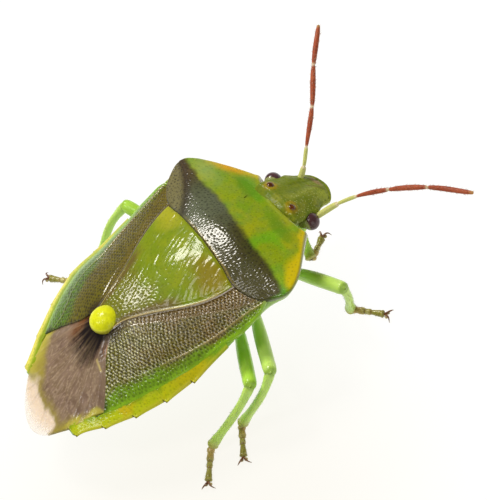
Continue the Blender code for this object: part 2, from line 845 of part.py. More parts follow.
def make_feeler(side_name):
    """A five-jointed feeler whose joints are waists in one tube."""
    joints = FEELER_JOINTS[side_name]
    line = path(joints)
    lengths = [0.0]
    for a, b in zip(joints, joints[1:]):
        lengths.append(lengths[-1] + math.dist(a, b))
    points = []
    radii = []
    for start, end in zip(lengths, lengths[1:]):
        for share in FEELER_STATIONS:
            points.append(line((start + (end - start) * share) / lengths[-1]))
            swell = math.sin(math.pi * share) ** FEELER_SWELL_POWER
            radii.append(FEELER_RADIUS * (FEELER_WAIST + (1 - FEELER_WAIST) * swell))
    radii[0] = FEELER_RADIUS * FEELER_ROOT
    points.append(line(1.0))
    radii.append(FEELER_RADIUS * FEELER_TIP)
    return finish(tube("antenna_" + side_name, points, radii, parts), "feeler")


def make_beak():
    line = path(BEAK_PATH)
    points = [line(share) for share in shares(10)]
    radii = [BEAK_RADIUS * (1 - BEAK_TAPER * share ** 2) for share in shares(10)]
    radii[0] = BEAK_RADIUS * BEAK_FRONT
    return finish(tube("beak", points, radii, parts), "leg")


# Legs

def part_at_joint(shin, other, joint, shin_way, other_way, other_radius):
    """Part two limb pieces where they meet; both ways point from the joint along the piece.

    A wide angle is mitred. At a sharp fold the shin is cut along the other piece's side.
    """
    if shin_way.dot(other_way) < SHARP_FOLD:
        normal = (other_way - shin_way).normalized()
        slice_off(shin, joint - normal * SMALL_GAP / 2, normal)
        slice_off(other, joint + normal * SMALL_GAP / 2, -normal)
    else:
        aside = (other_way * shin_way.dot(other_way) - shin_way).normalized()
        slice_off(shin, joint - aside * (other_radius + SMALL_GAP), aside)


def limb(name, start, end, swell, radius, fineness=2):
    """A tube from start to end whose radius follows (share, size) pairs along it."""
    points = [start.lerp(end, share) for share, size in swell]
    radii = [radius * size for share, size in swell]
    return tube(name, points, radii, parts, fineness)


def make_leg(leg_name, hip, knee, ankle, toe):
    """Coxa and femur, tibia, and a foot of three segments with two claws, flat where it stands."""
    thigh = (knee - hip).normalized()
    shin = (ankle - knee).normalized()
    forward = (toe - ankle).normalized()
    thigh_end = knee + thigh * JOINT_REACH
    femur = limb(leg_name + "_femur", hip, thigh_end, FEMUR_SWELL, FEMUR_RADIUS, fineness=3)
    shin_top = knee - shin * JOINT_REACH
    shin_end = ankle + shin * JOINT_REACH
    tibia = limb(leg_name + "_tibia", shin_top, shin_end, TIBIA_SWELL, TIBIA_RADIUS)
    heel = ankle - forward * JOINT_REACH
    tarsus = limb(leg_name + "_tarsus", heel, toe, TARSUS_SWELL, TARSUS_RADIUS)
    part_at_joint(tibia, femur, knee, shin, -thigh, FEMUR_RADIUS)
    part_at_joint(tibia, tarsus, ankle, -shin, forward, TARSUS_RADIUS)
    claws = []
    for sign in (-1, 1):
        aim = Matrix.Rotation(sign * CLAW_SPREAD, 3, "Z") @ forward
        start = toe - forward * CLAW_ROOT
        claw_points = []
        claw_radii = []
        for share in CLAW_STATIONS:
            drop = Vector((0, 0, -CLAW_DROP * share ** 2))
            claw_points.append(start + aim * CLAW_LENGTH * share + drop)
            claw_radii.append(CLAW_RADIUS + (CLAW_TIP_RADIUS - CLAW_RADIUS) * share)
        claws.append(tube("claw", claw_points, claw_radii, parts, fineness=1))
    join(tarsus, claws)
    slice_off(tarsus, Vector((0, 0, 0)), Vector((0, 0, -1)))
    finish(femur, "leg")
    finish(tibia, "leg")
    finish(tarsus, "foot")


def centre_over_origin():
    """Move the root so that the box of all the nodes is centred over the origin."""
    bpy.context.view_layer.update()
    corners = [thing.matrix_world @ vert.co for thing in parts.objects for vert in thing.data.vertices]
    for axis in (0, 1):
        low = min(corner[axis] for corner in corners)
        high = max(corner[axis] for corner in corners)
        root.location[axis] = -(low + high) / 2


for old in list(bpy.data.objects):
    bpy.data.objects.remove(old)
parts = bpy.data.collections.new("shield_bug")
cutters = bpy.data.collections.new("cutters")
for group in (parts, cutters):
    bpy.context.scene.collection.children.link(group)
root = bpy.data.objects.new("bug_root", None)
bpy.context.scene.collection.objects.link(root)

make_pronotum()
make_thorax()
make_scutellum()
make_abdomen()
make_head()
make_beak()
for side_name, sign in (("left", -1), ("right", 1)):
    make_corium(side_name, sign)
    make_membrane(side_name, sign)
    make_strip(side_name, sign)
    make_eye(side_name, sign)
    make_feeler(side_name)
for leg_name, joints in LEG_JOINTS.items():
    make_leg(leg_name, *(Vector(joint) for joint in joints))
centre_over_origin()
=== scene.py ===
"""Looks of a green shield bug, life size, walking on a pale ground in soft studio light.

Shapes are worked out in millimetres in the bug's own frame: the midline is x = 0, the shoulder
corners lie on y = 0, the floor is z = 0, the head points to +y and the right side is +x. They are
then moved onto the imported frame.
"""

import math

import bpy
import numpy as np
from mathutils import Matrix, Vector


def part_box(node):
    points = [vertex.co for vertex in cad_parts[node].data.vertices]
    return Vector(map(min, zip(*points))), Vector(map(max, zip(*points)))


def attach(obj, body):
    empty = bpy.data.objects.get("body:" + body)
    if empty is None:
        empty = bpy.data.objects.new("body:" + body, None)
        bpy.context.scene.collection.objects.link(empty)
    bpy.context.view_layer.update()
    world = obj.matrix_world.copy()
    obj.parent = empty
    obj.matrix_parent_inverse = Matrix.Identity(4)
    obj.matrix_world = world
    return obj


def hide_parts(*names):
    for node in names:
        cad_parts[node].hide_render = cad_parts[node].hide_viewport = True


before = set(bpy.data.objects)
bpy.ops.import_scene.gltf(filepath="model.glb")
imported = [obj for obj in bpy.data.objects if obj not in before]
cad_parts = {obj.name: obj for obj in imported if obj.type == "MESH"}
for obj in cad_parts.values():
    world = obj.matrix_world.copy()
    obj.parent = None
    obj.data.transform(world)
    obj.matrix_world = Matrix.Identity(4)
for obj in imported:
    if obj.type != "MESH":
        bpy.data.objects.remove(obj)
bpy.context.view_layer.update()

MM = 0.001
NOISE_TILE = 256

# Sockets of a colour mix node, by number because their names repeat
MIX_SHARE = 0
MIX_FIRST = 6
MIX_SECOND = 7
MIX_COLOUR = 2

# Materials: width and depth of the fine relief in millimetres, and unevenness of a mask's edge
BUMP_SIZE = 0.05
BUMP_DEPTH = 0.002
UNEVENNESS = 3.0

# Body outline and heights from the tail forwards: place y, value
MARGIN_REACH = [
    (-8.3, 1.35), (-7.18, 1.56), (-6.38, 2.08), (-5.34, 2.63), (-4.34, 2.95), (-3.4, 3.01),
    (-2.4, 3.02), (-1.7, 3.02), (-1.0, 3.02), (-0.5, 3.05), (-0.25, 3.13), (0, 3.19),
    (0.24, 3.13), (0.46, 2.98), (0.76, 2.66), (1.06, 2.25), (1.36, 1.81), (1.66, 1.36),
]
MARGIN_HEIGHT = [
    (-8.3, 1.24), (-7.18, 1.86), (-6.38, 2.02), (-5.34, 2.22), (-4.34, 2.39), (-3.4, 2.46),
    (-2.4, 2.69), (-1.7, 2.86), (-0.9, 3.06), (-0.07, 3.22), (0.3, 3.19), (0.79, 3.01),
    (1.2, 2.86), (1.68, 2.62),
]
RIDGE_HEIGHT = [
    (-8.3, 1.26), (-7.18, 1.96), (-6.1, 2.5), (-4.9, 3.16), (-4.2, 3.42), (-3.05, 3.48),
    (-1.04, 3.6), (-0.4, 3.56), (0.5, 3.24), (1.6, 2.8),
]
KEEL_HEIGHT = [
    (-7.3, 0.86), (-6.4, 0.82), (-4.8, 0.82), (-3.0, 0.88), (-1.0, 1.2), (0.5, 1.3), (1.6, 1.42),
]
MARGIN_DEPTH = 0.12
STRIP_WIDTH = [
    (-7.2, 0.4), (-6.3, 0.4), (-5.9, 0.36), (-5.35, 0.36), (-4.72, 0.35), (-4.1, 0.3),
    (-3.4, 0.23), (-2.4, 0.14),
]
SEGMENT_CORNERS_Y = [-2.4, -3.57, -4.54, -5.5, -6.39, -7.19]

# Pronotum, scutellum and wing lines
PRONOTUM_FRONT_Y = 1.46
PRONOTUM_CORNER = (1.36, 1.66)
PRONOTUM_REAR = [(0, -0.87), (1.2, -0.93), (1.9, -1.0), (2.4, -0.86), (2.8, -0.62)]
PRONOTUM_SIDE = [
    (1.36, 1.66), (1.81, 1.36), (2.25, 1.06), (2.66, 0.76), (2.98, 0.46), (3.13, 0.24),
    (3.16, 0.02), (3.02, -0.3), (2.8, -0.62),
]
BAND_FRONT = [
    (-3.0, 0.23), (-2.04, 0.18), (-0.93, 0.27), (0.07, 0.22), (1.0, 0.17), (2.26, 0.14),
    (3.0, 0.0),
]
CALLUS_X = (0.92, -1.05)
CREASE_LINE = [(-1.3, -0.84), (-1.83, -0.42), (-2.29, -0.19), (-2.69, -0.02), (-3.14, 0.07)]
SCUTELLUM_REACH = [
    (-4.6, 0.42), (-4.04, 0.57), (-3.7, 0.74), (-3.35, 0.91), (-2.84, 1.2), (-2.31, 1.51),
    (-1.86, 1.72), (-1.4, 1.86), (-1.0, 1.92),
]
SCUTELLUM_BASE_Y = -0.78
SCUTELLUM_END_Y = -4.62
KNOB_AT = (0.0, -4.51)
KNOB_RADII = (0.455, 0.455, 0.31)
CLAVUS_LINE = [
    (-4.6, 0.52), (-4.01, 0.79), (-3.5, 1.11), (-2.86, 1.49), (-2.22, 1.89), (-1.57, 2.27),
    (-0.9, 2.61),
]
WING_VEIN = [
    (-5.4, 1.6), (-5.08, 1.78), (-4.65, 2.03), (-4.18, 2.2), (-3.7, 2.3), (-3.24, 2.41),
    (-2.76, 2.53), (-2.02, 2.66), (-1.21, 2.75), (-0.6, 2.86),
]
CORIUM_FRONT_Y = -0.5
MEMBRANE_LINE = [
    (0.4, -4.62), (0.6, -4.74), (0.69, -4.9), (0.81, -5.08), (1.02, -5.3), (1.3, -5.56),
    (1.6, -5.88), (1.82, -6.16),
]
MEMBRANE_SIDE = [(1.64, -6.4), (1.46, -6.85), (1.25, -7.22), (1.0, -7.52), (0.76, -7.79)]
WING_TIP_Y = -8.12
MEMBRANE_SINK = {"left": 0.05, "right": 0.1}
FAN_BASE_Y = -4.1
FAN_VEINS = (-0.5, -0.34, -0.2, -0.06, 0.08, 0.22, 0.36, 0.5)
BROWN_REAR = [
    (-1.9, -5.9), (-1.5, -6.12), (-1.2, -6.42), (-0.9, -6.75), (-0.6, -7.08), (-0.3, -7.26),
    (0.0, -7.34), (0.45, -7.38), (0.86, -7.3), (1.15, -7.05), (1.5, -6.5),
]
# Painted highlight: a short pale-yellow streak of light on the right of the membrane
GOLD_HIGHLIGHT_LINE = [(0.64, -5.38), (0.96, -5.48)]
RUST_LINE = [(-0.45, -4.62), (-0.62, -4.85), (-0.66, -5.3)]
PLATE_OVERLAP = 0.1

# Side strips and underside
STRIP_OVERHANG = 0.02
TOOTH_SIZES = {"left": 0.04, "right": 0.085}
BELLY_FRONT_Y = 0.9
BELLY_REAR_Y = -7.24
CHEST_JOINTS_Y = [-0.95, -1.75]

# Head: its own frame has x across, y along the head from the neck and z out of its back
HEAD_AT = (-0.02, 1.6, 2.86)
HEAD_PITCH = math.radians(37)
HEAD_YAW = math.radians(12.6)
HEAD_ROLL = math.radians(7.1)
HEAD_REACH = [
    (-0.6, 0.8), (0.3, 0.87), (0.75, 0.79), (1.0, 0.8), (1.12, 0.74), (1.25, 0.68), (1.4, 0.64),
    (1.55, 0.62), (1.68, 0.585),
]
HEAD_DEPTH = [(-0.6, 1.3), (0.6, 1.2), (1.0, 1.0), (1.4, 0.76), (1.9, 0.42)]
HEAD_BACK = -0.6
HEAD_TIP = 1.95
HEAD_CROWN = 0.2
HEAD_DROOP = 0.16
HEAD_EDGE = 0.28
NAPE_DROP = 0.45
HEAD_GROOVE = [(0.34, 0.62), (0.28, 1.0), (0.22, 1.4), (0.18, 1.86)]
HEAD_BROWN_LINE = [(-0.08, 1.2), (0.06, 1.42), (0.27, 1.68)]
EYES = {"left": (-0.86, 0.69, -0.27), "right": (0.9, 0.65, -0.3)}
EYE_RADII = (0.27, 0.26, 0.25)
PALE_EYE_WAYS = {"left": (0.65, -1.12, 0), "right": (-0.25, -0.97, -0.55)}
STALK_RADII = (0.25, 0.21, 0.2)
OCELLI = {"left": (-0.55, 0.15), "right": (0.45, 0.11)}
OCELLUS_RADII = (0.12, 0.12, 0.09)

# Limbs: joints from the root outwards; a leg's are its hip, knee, shin bend, ankle and toe
FEELER_JOINTS = {
    "left": [
        (-0.7, 2.1, 1.72), (-0.89, 2.85, 2.31), (-1.18, 3.255, 2.615), (-1.93, 4.1, 3.015),
        (-2.93, 4.91, 3.31), (-3.87, 5.77, 3.51),
    ],
    "right": [
        (0.54, 2.07, 1.9), (0.82, 2.93, 2.13), (1.19, 3.465, 2.36), (1.92, 4.28, 2.65),
        (2.85, 5.16, 2.85), (4.07, 6.05, 2.94),
    ],
}
BEAK_PATH = [
    (-0.46, 2.5, 1.2), (-0.3, 2.1, 1.02), (-0.08, 1.5, 0.96), (0, 0.5, 0.84), (0, -0.6, 0.76),
]
BEAK_SIDES = 20
LEG_JOINTS = {
    "fore_right": [
        (0.62, 0.59, 0.88), (3.27, 1.55, 1.88), (3.09, 1.52, 1.38), (2.73, 1.42, 0.21),
        (3.61, 2.09, 0.21),
    ],
    "fore_left": [
        (-0.72, 0.5, 0.8), (-1.54, 1.98, 0.91), (-0.95, 1.84, 0.71), (0.42, 1.45, 0.2),
        (0.0, 2.09, 0.2),
    ],
    "mid_right": [
        (0.85, -0.75, 0.78), (4.15, -1.64, 1.95), (4.08, -1.95, 1.55), (3.69, -3.15, 0.21),
        (4.65, -3.68, 0.2),
    ],
    "mid_left": [
        (-0.85, -0.75, 0.78), (-4.13, -1.98, 2.03), (-4.26, -2.46, 1.51), (-4.43, -3.5, 0.2),
        (-4.27, -4.15, 0.2),
    ],
    "hind_right": [
        (0.99, -1.4, 0.73), (4.02, -2.33, 1.84), (3.9, -2.7, 1.42), (3.67, -4.24, 0.21),
        (4.6, -4.92, 0.2),
    ],
    "hind_left": [
        (-0.9, -1.5, 0.76), (-3.6, -2.9, 1.5), (-3.77, -3.36, 1.1), (-4.17, -4.43, 0.2),
        (-4.97, -5.03, 0.2),
    ],
}
# Thighs painted paler than the others, as if lit more brightly: painted light
LIT_THIGHS = ("fore_right", "mid_right")
FOOT_HEIGHT = 0.1
ANKLE_RISE = 0.06
LIMB_RINGS = 121
LIMB_SIDES = 24

# Leg segments: share of the length, radius
FEMUR_SIZE = [
    (0, 0.05), (0.02, 0.13), (0.06, 0.17), (0.1, 0.13), (0.13, 0.1), (0.18, 0.14), (0.35, 0.185),
    (0.6, 0.21), (0.85, 0.205), (0.935, 0.2), (0.965, 0.185), (0.985, 0.15), (0.996, 0.09),
    (1, 0.02),
]
TIBIA_SIZE = [
    (0, 0.1), (0.03, 0.14), (0.08, 0.15), (0.16, 0.135), (0.5, 0.125), (0.8, 0.13), (0.93, 0.155),
    (0.985, 0.14), (1, 0.07),
]
TARSUS_SIZE = [
    (0, 0.04), (0.03, 0.085), (0.2, 0.095), (0.4, 0.1), (0.44, 0.082), (0.5, 0.088), (0.58, 0.09),
    (0.62, 0.075), (0.7, 0.08), (0.9, 0.1), (0.98, 0.09), (1, 0.04),
]

# Claws, and the pads at their roots
CLAW_SPREAD = math.radians(48)
CLAW_LENGTH = 0.29
CLAW_BOW = 0.07
CLAW_RADIUS = 0.034
PAD_RADII = (0.06, 0.06, 0.035)

# Feeler segments: radius at the joints, greatest radius, and how far the bulge leans to the tip
FEELER_WIDTHS = [
    (0.07, 0.095, 1.0), (0.048, 0.06, 1.6), (0.036, 0.075, 1.5), (0.034, 0.083, 1.1),
    (0.032, 0.08, 0.9),
]
FEELER_RINGS = 241
FEELER_SIDES = 20
FIRST_HAIRY_RING = 90

# A hair: corners of its foot, across and along the limb, and its faces
HAIR_FOOT = ((0.007, 0), (-0.004, 0.006), (-0.004, -0.006))
HAIR_FACES = [[0, 1, 2], [0, 3, 1], [1, 3, 2], [2, 3, 0]]

SIDES = (("left", -1), ("right", 1))

# Grids of the plates: length, spacing and border across the body, then along it
GRIDS = {
    "pronotum": ((6.2, 0.022, 0.1), (2.5, 0.021, 0.1)),
    "scutellum": ((3.0, 0.02, 0.08), (3.8, 0.021, 0.08)),
    "corium": ((1.9, 0.02, 0.08), (5.1, 0.021, 0.08)),
    "membrane": ((3.4, 0.022, 0.06), (3.2, 0.026, 0.06)),
    "strip": ((0.7, 0.022, 0.08), (5.1, 0.02, 0.04)),
    "belly": ((5.6, 0.035, 0.1), (8.1, 0.03, 0.1)),
}

# Grid of the head: number of lines across it, then length, spacing and border along it
HEAD_COLUMNS = 97
HEAD_ROWS = (2.4, 0.02, 0.06)

# Radius of the rounded edge of each plate, and thickness of the plates on the back
EDGE_RADII = {
    "pronotum": 0.07, "scutellum": 0.06, "corium": 0.045, "membrane": 0.02, "strip": 0.05,
    "belly": 0.08, "head": 0.1,
}
THICKNESS = {"scutellum": 0.16, "corium": 0.13, "membrane": 0.035}

# Fields of pits: spacing both ways, radius, unevenness and seed. Banks are the raised parts beside
# the pits and share their seed
PITS = {
    "band_pits": (0.1, 0.105, 0.032, 0.6, 6),
    "band_banks": (0.1, 0.105, 0.06, 0.6, 6),
    "pronotum_fine": (0.13, 0.14, 0.026, 0.8, 7),
    "pale_specks": (0.1, 0.1, 0.02, 0.9, 9),
    "scutellum_front": (0.14, 0.16, 0.034, 0.8, 23),
    "scutellum_rear": (0.115, 0.12, 0.042, 0.55, 24),
    "knob": (0.2, 0.2, 0.06, 0.9, 31),
    "wing_pits": (0.106, 0.11, 0.046, 0.36, 42),
    "wing_banks": (0.106, 0.11, 0.062, 0.36, 42),
    "clavus_pits": (0.1, 0.11, 0.038, 0.2, 43),
    "clavus_banks": (0.1, 0.11, 0.055, 0.2, 43),
    "strip": (0.1, 0.11, 0.032, 0.8, 61),
    "belly": (0.16, 0.16, 0.045, 0.8, 71),
    "head": (0.1, 0.105, 0.03, 0.8, 82),
    # Painted glints: places of the pale specks on the head, which carry no relief
    "head_glint_specks": (0.1, 0.105, 0.016, 0.9, 84),
    "facets": (0.026, 0.03, 0.014, 0.1, 91),
}

# Camera, in the bug's own frame
TOWARDS_CAMERA = Vector((0.6142, -0.0429, 0.788))
PICTURE_RIGHT = Vector((0.4943, 0.7995, -0.3417))
PICTURE_UP = Vector((-0.6153, 0.5992, 0.5122))
CAMERA_AT = Vector((80.33, -5.65, 105.06))
FOCAL_LENGTH = 322.9
SENSOR = 36.0

# Lights: direction in the bug's own frame, size in millimetres, power in watts, and colour
WHITE = (1, 1, 1)
WARM_WHITE = (1, 0.955, 0.88)
LIGHTS_AIM = (0, -2, 3)
LIGHT_DISTANCE = 120
LIGHTS = {
    "main_light": ((-0.58, 0.05, 0.81), 36, 0.112, WARM_WHITE),
    "overhead_light": ((0.03, -0.15, 0.99), 36, 0.032, WARM_WHITE),
    "rear_light": ((-0.2, -0.56, 0.8), 26, 0.03, WHITE),
    "side_light": ((0.9, 0.15, 0.42), 90, 0.03, WHITE),
}
SKY_STRENGTHS = (0.32, 0.03)

# Ground, with a faint cream patch: its middle in metres, and how far from there it starts to fade
# and ends, in millimetres
GROUND_SIZE = 800
CREAM_AT = (0.006, -0.005, 0)
CREAM_REACH = (2, 11)


def rgb(red, green, blue):
    """A shader colour from screen values of 0 to 255."""
    linear = []
    for value in (red, green, blue):
        value /= 255
        linear.append(value / 12.92 if value <= 0.04045 else ((value + 0.055) / 1.055) ** 2.4)
    return (*linear, 1)


# Curves and fields over arrays of places

def curve(points):
    """A smooth curve through (place, value) points in rising order."""
    places, values = np.array(points, float).T
    steps = np.diff(places)
    rises = np.diff(values) / steps
    inner = (steps[1:] * rises[:-1] + steps[:-1] * rises[1:]) / (steps[:-1] + steps[1:])
    slopes = np.concatenate((rises[:1], inner, rises[-1:]))

    def at(where):
        where = np.clip(where, places[0], places[-1])
        i = np.clip(np.searchsorted(places, where, side="right") - 1, 0, len(steps) - 1)
        u = (where - places[i]) / steps[i]
        return (
            values[i] * (1 + 2 * u) * (1 - u) ** 2
            + values[i + 1] * u * u * (3 - 2 * u)
            + steps[i] * (slopes[i] * u * (1 - u) ** 2 - slopes[i + 1] * u * u * (1 - u))
        )

    return at


def route(points):
    """A smooth path through points, as a function of 0 to 1 along it; gives one array per axis."""
    lengths = [0.0]
    for a, b in zip(points, points[1:]):
        lengths.append(lengths[-1] + math.dist(a, b))
    axes = [curve(list(zip(lengths, axis))) for axis in zip(*points)]

    def at(share):
        return [axis(np.asarray(share) * lengths[-1]) for axis in axes]

    return at


def ease(value, start, end):
    """0 at start, 1 at end, smooth between."""
    share = np.clip((value - start) / (end - start), 0, 1)
    return share * share * (3 - 2 * share)


def ridge(distance, width):
    """1 on a line, falling off within about one width of it."""
    return np.exp(-(distance / width) ** 2)


def oval(x, y, at_x, at_y, reach_x, reach_y):
    """Distance in plan from a place, in units of the reach along each axis."""
    return np.hypot((x - at_x) / reach_x, (y - at_y) / reach_y)


def spot(x, y, at_x, at_y, reach_x, reach_y):
    """1 at a place in plan, falling off within about one reach along each axis."""
    return ridge(oval(x, y, at_x, at_y, reach_x, reach_y), 1)


def line_distance(points, x, y):
    """Distance in plan from each place to a line through points."""
    nearest = np.full(np.shape(x), np.inf)
    for (ax, ay), (bx, by) in zip(points, points[1:]):
        dx = bx - ax
        dy = by - ay
        share = np.clip(((x - ax) * dx + (y - ay) * dy) / (dx * dx + dy * dy), 0, 1)
        nearest = np.minimum(nearest, np.hypot(x - ax - share * dx, y - ay - share * dy))
    return nearest


def grain(u, v, seed):
    """Smooth seeded noise from -1 to 1 with cells one unit wide."""
    table = np.random.default_rng(seed).uniform(-1, 1, (NOISE_TILE, NOISE_TILE))
    i = np.floor(u).astype(int)
    j = np.floor(v).astype(int)
    a = u - i
    b = v - j
    a = a * a * (3 - 2 * a)
    b = b * b * (3 - 2 * b)
    corner = [
        [table[(i + k) % NOISE_TILE, (j + m) % NOISE_TILE] for m in (0, 1)] for k in (0, 1)
    ]
    near = corner[0][0] * (1 - b) + corner[0][1] * b
    far = corner[1][0] * (1 - b) + corner[1][1] * b
    return near * (1 - a) + far * a


def pits(u, v, name):
    """Depth, 0 to 1, of a field of round pits in staggered rows over (u, v)."""
    spacing_u, spacing_v, radius, unevenness, seed = PITS[name]
    table = np.random.default_rng(seed).random((NOISE_TILE, NOISE_TILE, 3))
    i = np.floor(u / spacing_u).astype(int)
    j = np.floor(v / spacing_v).astype(int)
    depth = np.zeros(np.shape(u))
    for k in (i - 1, i, i + 1):
        stagger = 0.5 * (k % 2) - 0.25
        for m in (j - 1, j, j + 1):
            draw = table[k % NOISE_TILE, m % NOISE_TILE]
            centre_u = (k + 0.5 + unevenness * (draw[..., 0] - 0.5)) * spacing_u
            centre_v = (m + 0.5 + stagger + unevenness * (draw[..., 1] - 0.5)) * spacing_v
            reach = radius * (0.75 + 0.5 * draw[..., 2])
            distance = np.hypot(u - centre_u, v - centre_v) / reach
            depth = np.maximum(depth, np.clip(1 - distance ** 2, 0, 1))
    return depth


margin_reach = curve(MARGIN_REACH)
margin_height = curve(MARGIN_HEIGHT)
ridge_height = curve(RIDGE_HEIGHT)
keel_height = curve(KEEL_HEIGHT)
strip_width = curve(STRIP_WIDTH)
scutellum_reach = curve(SCUTELLUM_REACH)
clavus_line = curve(CLAVUS_LINE)
wing_vein = curve(WING_VEIN)
band_front = curve(BAND_FRONT)
pronotum_rear = curve(PRONOTUM_REAR)
crease_x = curve([(y, x) for x, y in CREASE_LINE])
head_reach = curve(HEAD_REACH)
head_depth = curve(HEAD_DEPTH)
brown_rear = curve(BROWN_REAR)
femur_size = curve(FEMUR_SIZE)
tibia_size = curve(TIBIA_SIZE)
tarsus_size = curve(TARSUS_SIZE)


def across_share(x, y):
    """How far out a place lies, from 0 at the midline to 1 at the body's edge."""
    return np.minimum(np.abs(x) / margin_reach(y), 1)


def back_height(x, y):
    edge = margin_height(y)
    return edge + (ridge_height(y) - edge) * (1 - across_share(x, y) ** 2)


def belly_height(x, y):
    edge = margin_height(y) - MARGIN_DEPTH
    return edge - (edge - keel_height(y)) * (1 - across_share(x, y) ** 2)


def rear_line(x):
    return pronotum_rear(np.abs(x))


def front_line(x):
    rise = PRONOTUM_CORNER[1] - PRONOTUM_FRONT_Y
    return PRONOTUM_FRONT_Y + rise * (x / PRONOTUM_CORNER[0]) ** 2


def wing_reach(y):
    """Outer edge of the folded forewing."""
    beside_strip = margin_reach(y) - strip_width(y)
    front = margin_reach(y) - 0.17 * ease(y, -0.95, -0.45)
    return np.where(y > SEGMENT_CORNERS_Y[0], front - 0.14 * ease(y, -1.5, -2.4), beside_strip)


# Meshes

def shares(length, spacing, border):
    """Shares from 0 to 1 along a length: close together near both ends, even between them."""
    ends = np.array([0, 0.12, 0.35, 0.65]) * border / length
    count = 4 * max(round((length - 2 * border) / spacing / 4), 1)
    inner = np.linspace(border / length, 1 - border / length, count + 1)
    return np.concatenate((ends, inner, 1 - ends[::-1]))


def grid(plate):
    """Where a plate's grid lines lie across the body and along it."""
    return [shares(*run) for run in GRIDS[plate]]


def sheet_places(front, rear, first, last, s, t):
    """Plan places of a four-sided sheet; s runs from first to last, t from front to rear."""
    s_grid, t_grid = np.meshgrid(s, t)
    places = []
    for axis in (0, 1):
        across = (1 - t_grid) * front(s)[axis] + t_grid * rear(s)[axis]
        along = (1 - s_grid) * first(t)[axis][:, None] + s_grid * last(t)[axis][:, None]
        corners = (
            (1 - s_grid) * (1 - t_grid) * front(0.0)[axis] + s_grid * (1 - t_grid) * front(1.0)[axis]
            + (1 - s_grid) * t_grid * rear(0.0)[axis] + s_grid * t_grid * rear(1.0)[axis]
        )
        places.append(across + along - corners)
    return places


def mirrored(edge):
    """A right-hand edge, moved to the left side."""
    def at(t):
        x, y = edge(t)
        return -x, y

    return at


def lengthwise(start_y, end_y, reach):
    """An edge along the body from start_y to end_y, at x = reach(y)."""
    def at(t):
        y = start_y + (end_y - start_y) * t
        return reach(y), y

    return at


def bowed(reach, line):
    """An edge across the body from -reach to reach, at y = line(x)."""
    def at(s):
        x = reach * (2 * s - 1)
        return x, line(x)

    return at


def straight(reach, y):
    """A straight edge across the body, from -reach to reach."""
    return bowed(reach, lambda x: np.full(np.shape(x), y))


def rounded(reach, y, depth):
    """An edge across the body that bulges by a depth from y at its middle."""
    return bowed(reach, lambda x: y + depth * np.sqrt(np.maximum(1 - (x / reach) ** 2, 0)))


def edge_distances(x, y):
    """Distance from each place of a sheet to its front, rear, first and last edges."""
    return (
        np.hypot(x - x[:1], y - y[:1]), np.hypot(x - x[-1:], y - y[-1:]),
        np.hypot(x - x[:, :1], y - y[:, :1]), np.hypot(x - x[:, -1:], y - y[:, -1:]),
    )


def rolled(distance, radius):
    """How far a rounded edge has dropped, at a distance in from the edge."""
    share = np.clip(1 - distance / radius, 0, 1)
    return radius * (1 - np.sqrt(1 - share ** 2))


def placed(name, data):
    """A new object in the scene."""
    thing = bpy.data.objects.new(name, data)
    bpy.context.scene.collection.objects.link(thing)
    return thing


def make_mesh(name, places, faces, masks, slot, stands_for=(), paint=None):
    """A mesh in the bug's frame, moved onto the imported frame, riding on the root body; paint is
    given where it isn't the slot's own.
    """
    mesh = bpy.data.meshes.new(name)
    mesh.from_pydata((np.asarray(places) * MM + shift).tolist(), [], faces)
    mesh.validate()
    for mask_name, values in masks.items():
        layer = mesh.attributes.new(mask_name, "FLOAT", "POINT")
        layer.data.foreach_set("value", np.asarray(values, np.float32))
    mesh.polygons.foreach_set("use_smooth", np.full(len(mesh.polygons), True))
    mesh.materials.append(skins[paint or slot])
    made = placed(name, mesh)
    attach(made, "root")
    if stands_for:
        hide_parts(*stands_for)


def quads(rows):
    """Faces of a grid of vertex numbers."""
    corners = (rows[:-1, :-1], rows[:-1, 1:], rows[1:, 1:], rows[1:, :-1])
    return np.stack(corners, -1).reshape(-1, 4).tolist()


def closed(rows):
    """Rows of vertex numbers, each joined up into a ring."""
    return np.concatenate((rows, rows[:, :1]), 1)


def rim_of(rows):
    """Vertex numbers round the border of a grid."""
    return np.concatenate((rows[0, :-1], rows[:-1, -1], rows[-1, :0:-1], rows[:0:-1, 0])).tolist()


def turned_out(places, faces):
    """The faces with their normals pointing out of the closed form."""
    volume = 0.0
    for face in faces:
        a = places[face[0]]
        for k in range(1, len(face) - 1):
            b = places[face[k]]
            c = places[face[k + 1]]
            volume += (
                a[0] * (b[1] * c[2] - b[2] * c[1]) - a[1] * (b[0] * c[2] - b[2] * c[0])
                + a[2] * (b[0] * c[1] - b[1] * c[0])
            )
    return [face[::-1] for face in faces] if volume < 0 else faces


def shell(name, top, under, masks, slot, stands_for, step=4):
    """A closed plate from a fine grid above and the same grid below, every step-th line kept."""
    rows, columns = top.shape[:2]
    upper = np.arange(rows * columns).reshape(rows, columns)
    coarse = under[::step, ::step]
    lower = np.arange(coarse.shape[0] * coarse.shape[1]).reshape(coarse.shape[:2]) + rows * columns
    faces = quads(upper) + quads(lower[::-1])
    fine_rim = rim_of(upper)
    coarse_rim = rim_of(lower)
    for k, vert in enumerate(coarse_rim):
        after = coarse_rim[(k + 1) % len(coarse_rim)]
        span = [fine_rim[(k * step + m) % len(fine_rim)] for m in range(step + 1)]
        faces.append([vert, after] + span[::-1])
    places = np.concatenate((top.reshape(-1, 3), coarse.reshape(-1, 3)))
    faces = turned_out(places.tolist(), faces)
    spread = {}
    for mask_name, values in masks.items():
        spread[mask_name] = np.concatenate((values.ravel(), values[::step, ::step].ravel()))
    make_mesh(name, places, faces, spread, slot, stands_for)


def ring_frames(points):
    """Two directions across a path at each of its points, turning as little as possible."""
    ways = np.gradient(points, axis=0)
    ways /= np.linalg.norm(ways, axis=1)[:, None]
    side = np.cross(ways[0], (0, 0, 1))
    side /= np.linalg.norm(side)
    sides = []
    for way in ways:
        side = side - way * np.dot(side, way)
        side /= np.linalg.norm(side)
        sides.append(side)
    sides = np.array(sides)
    return sides, np.cross(ways, sides)


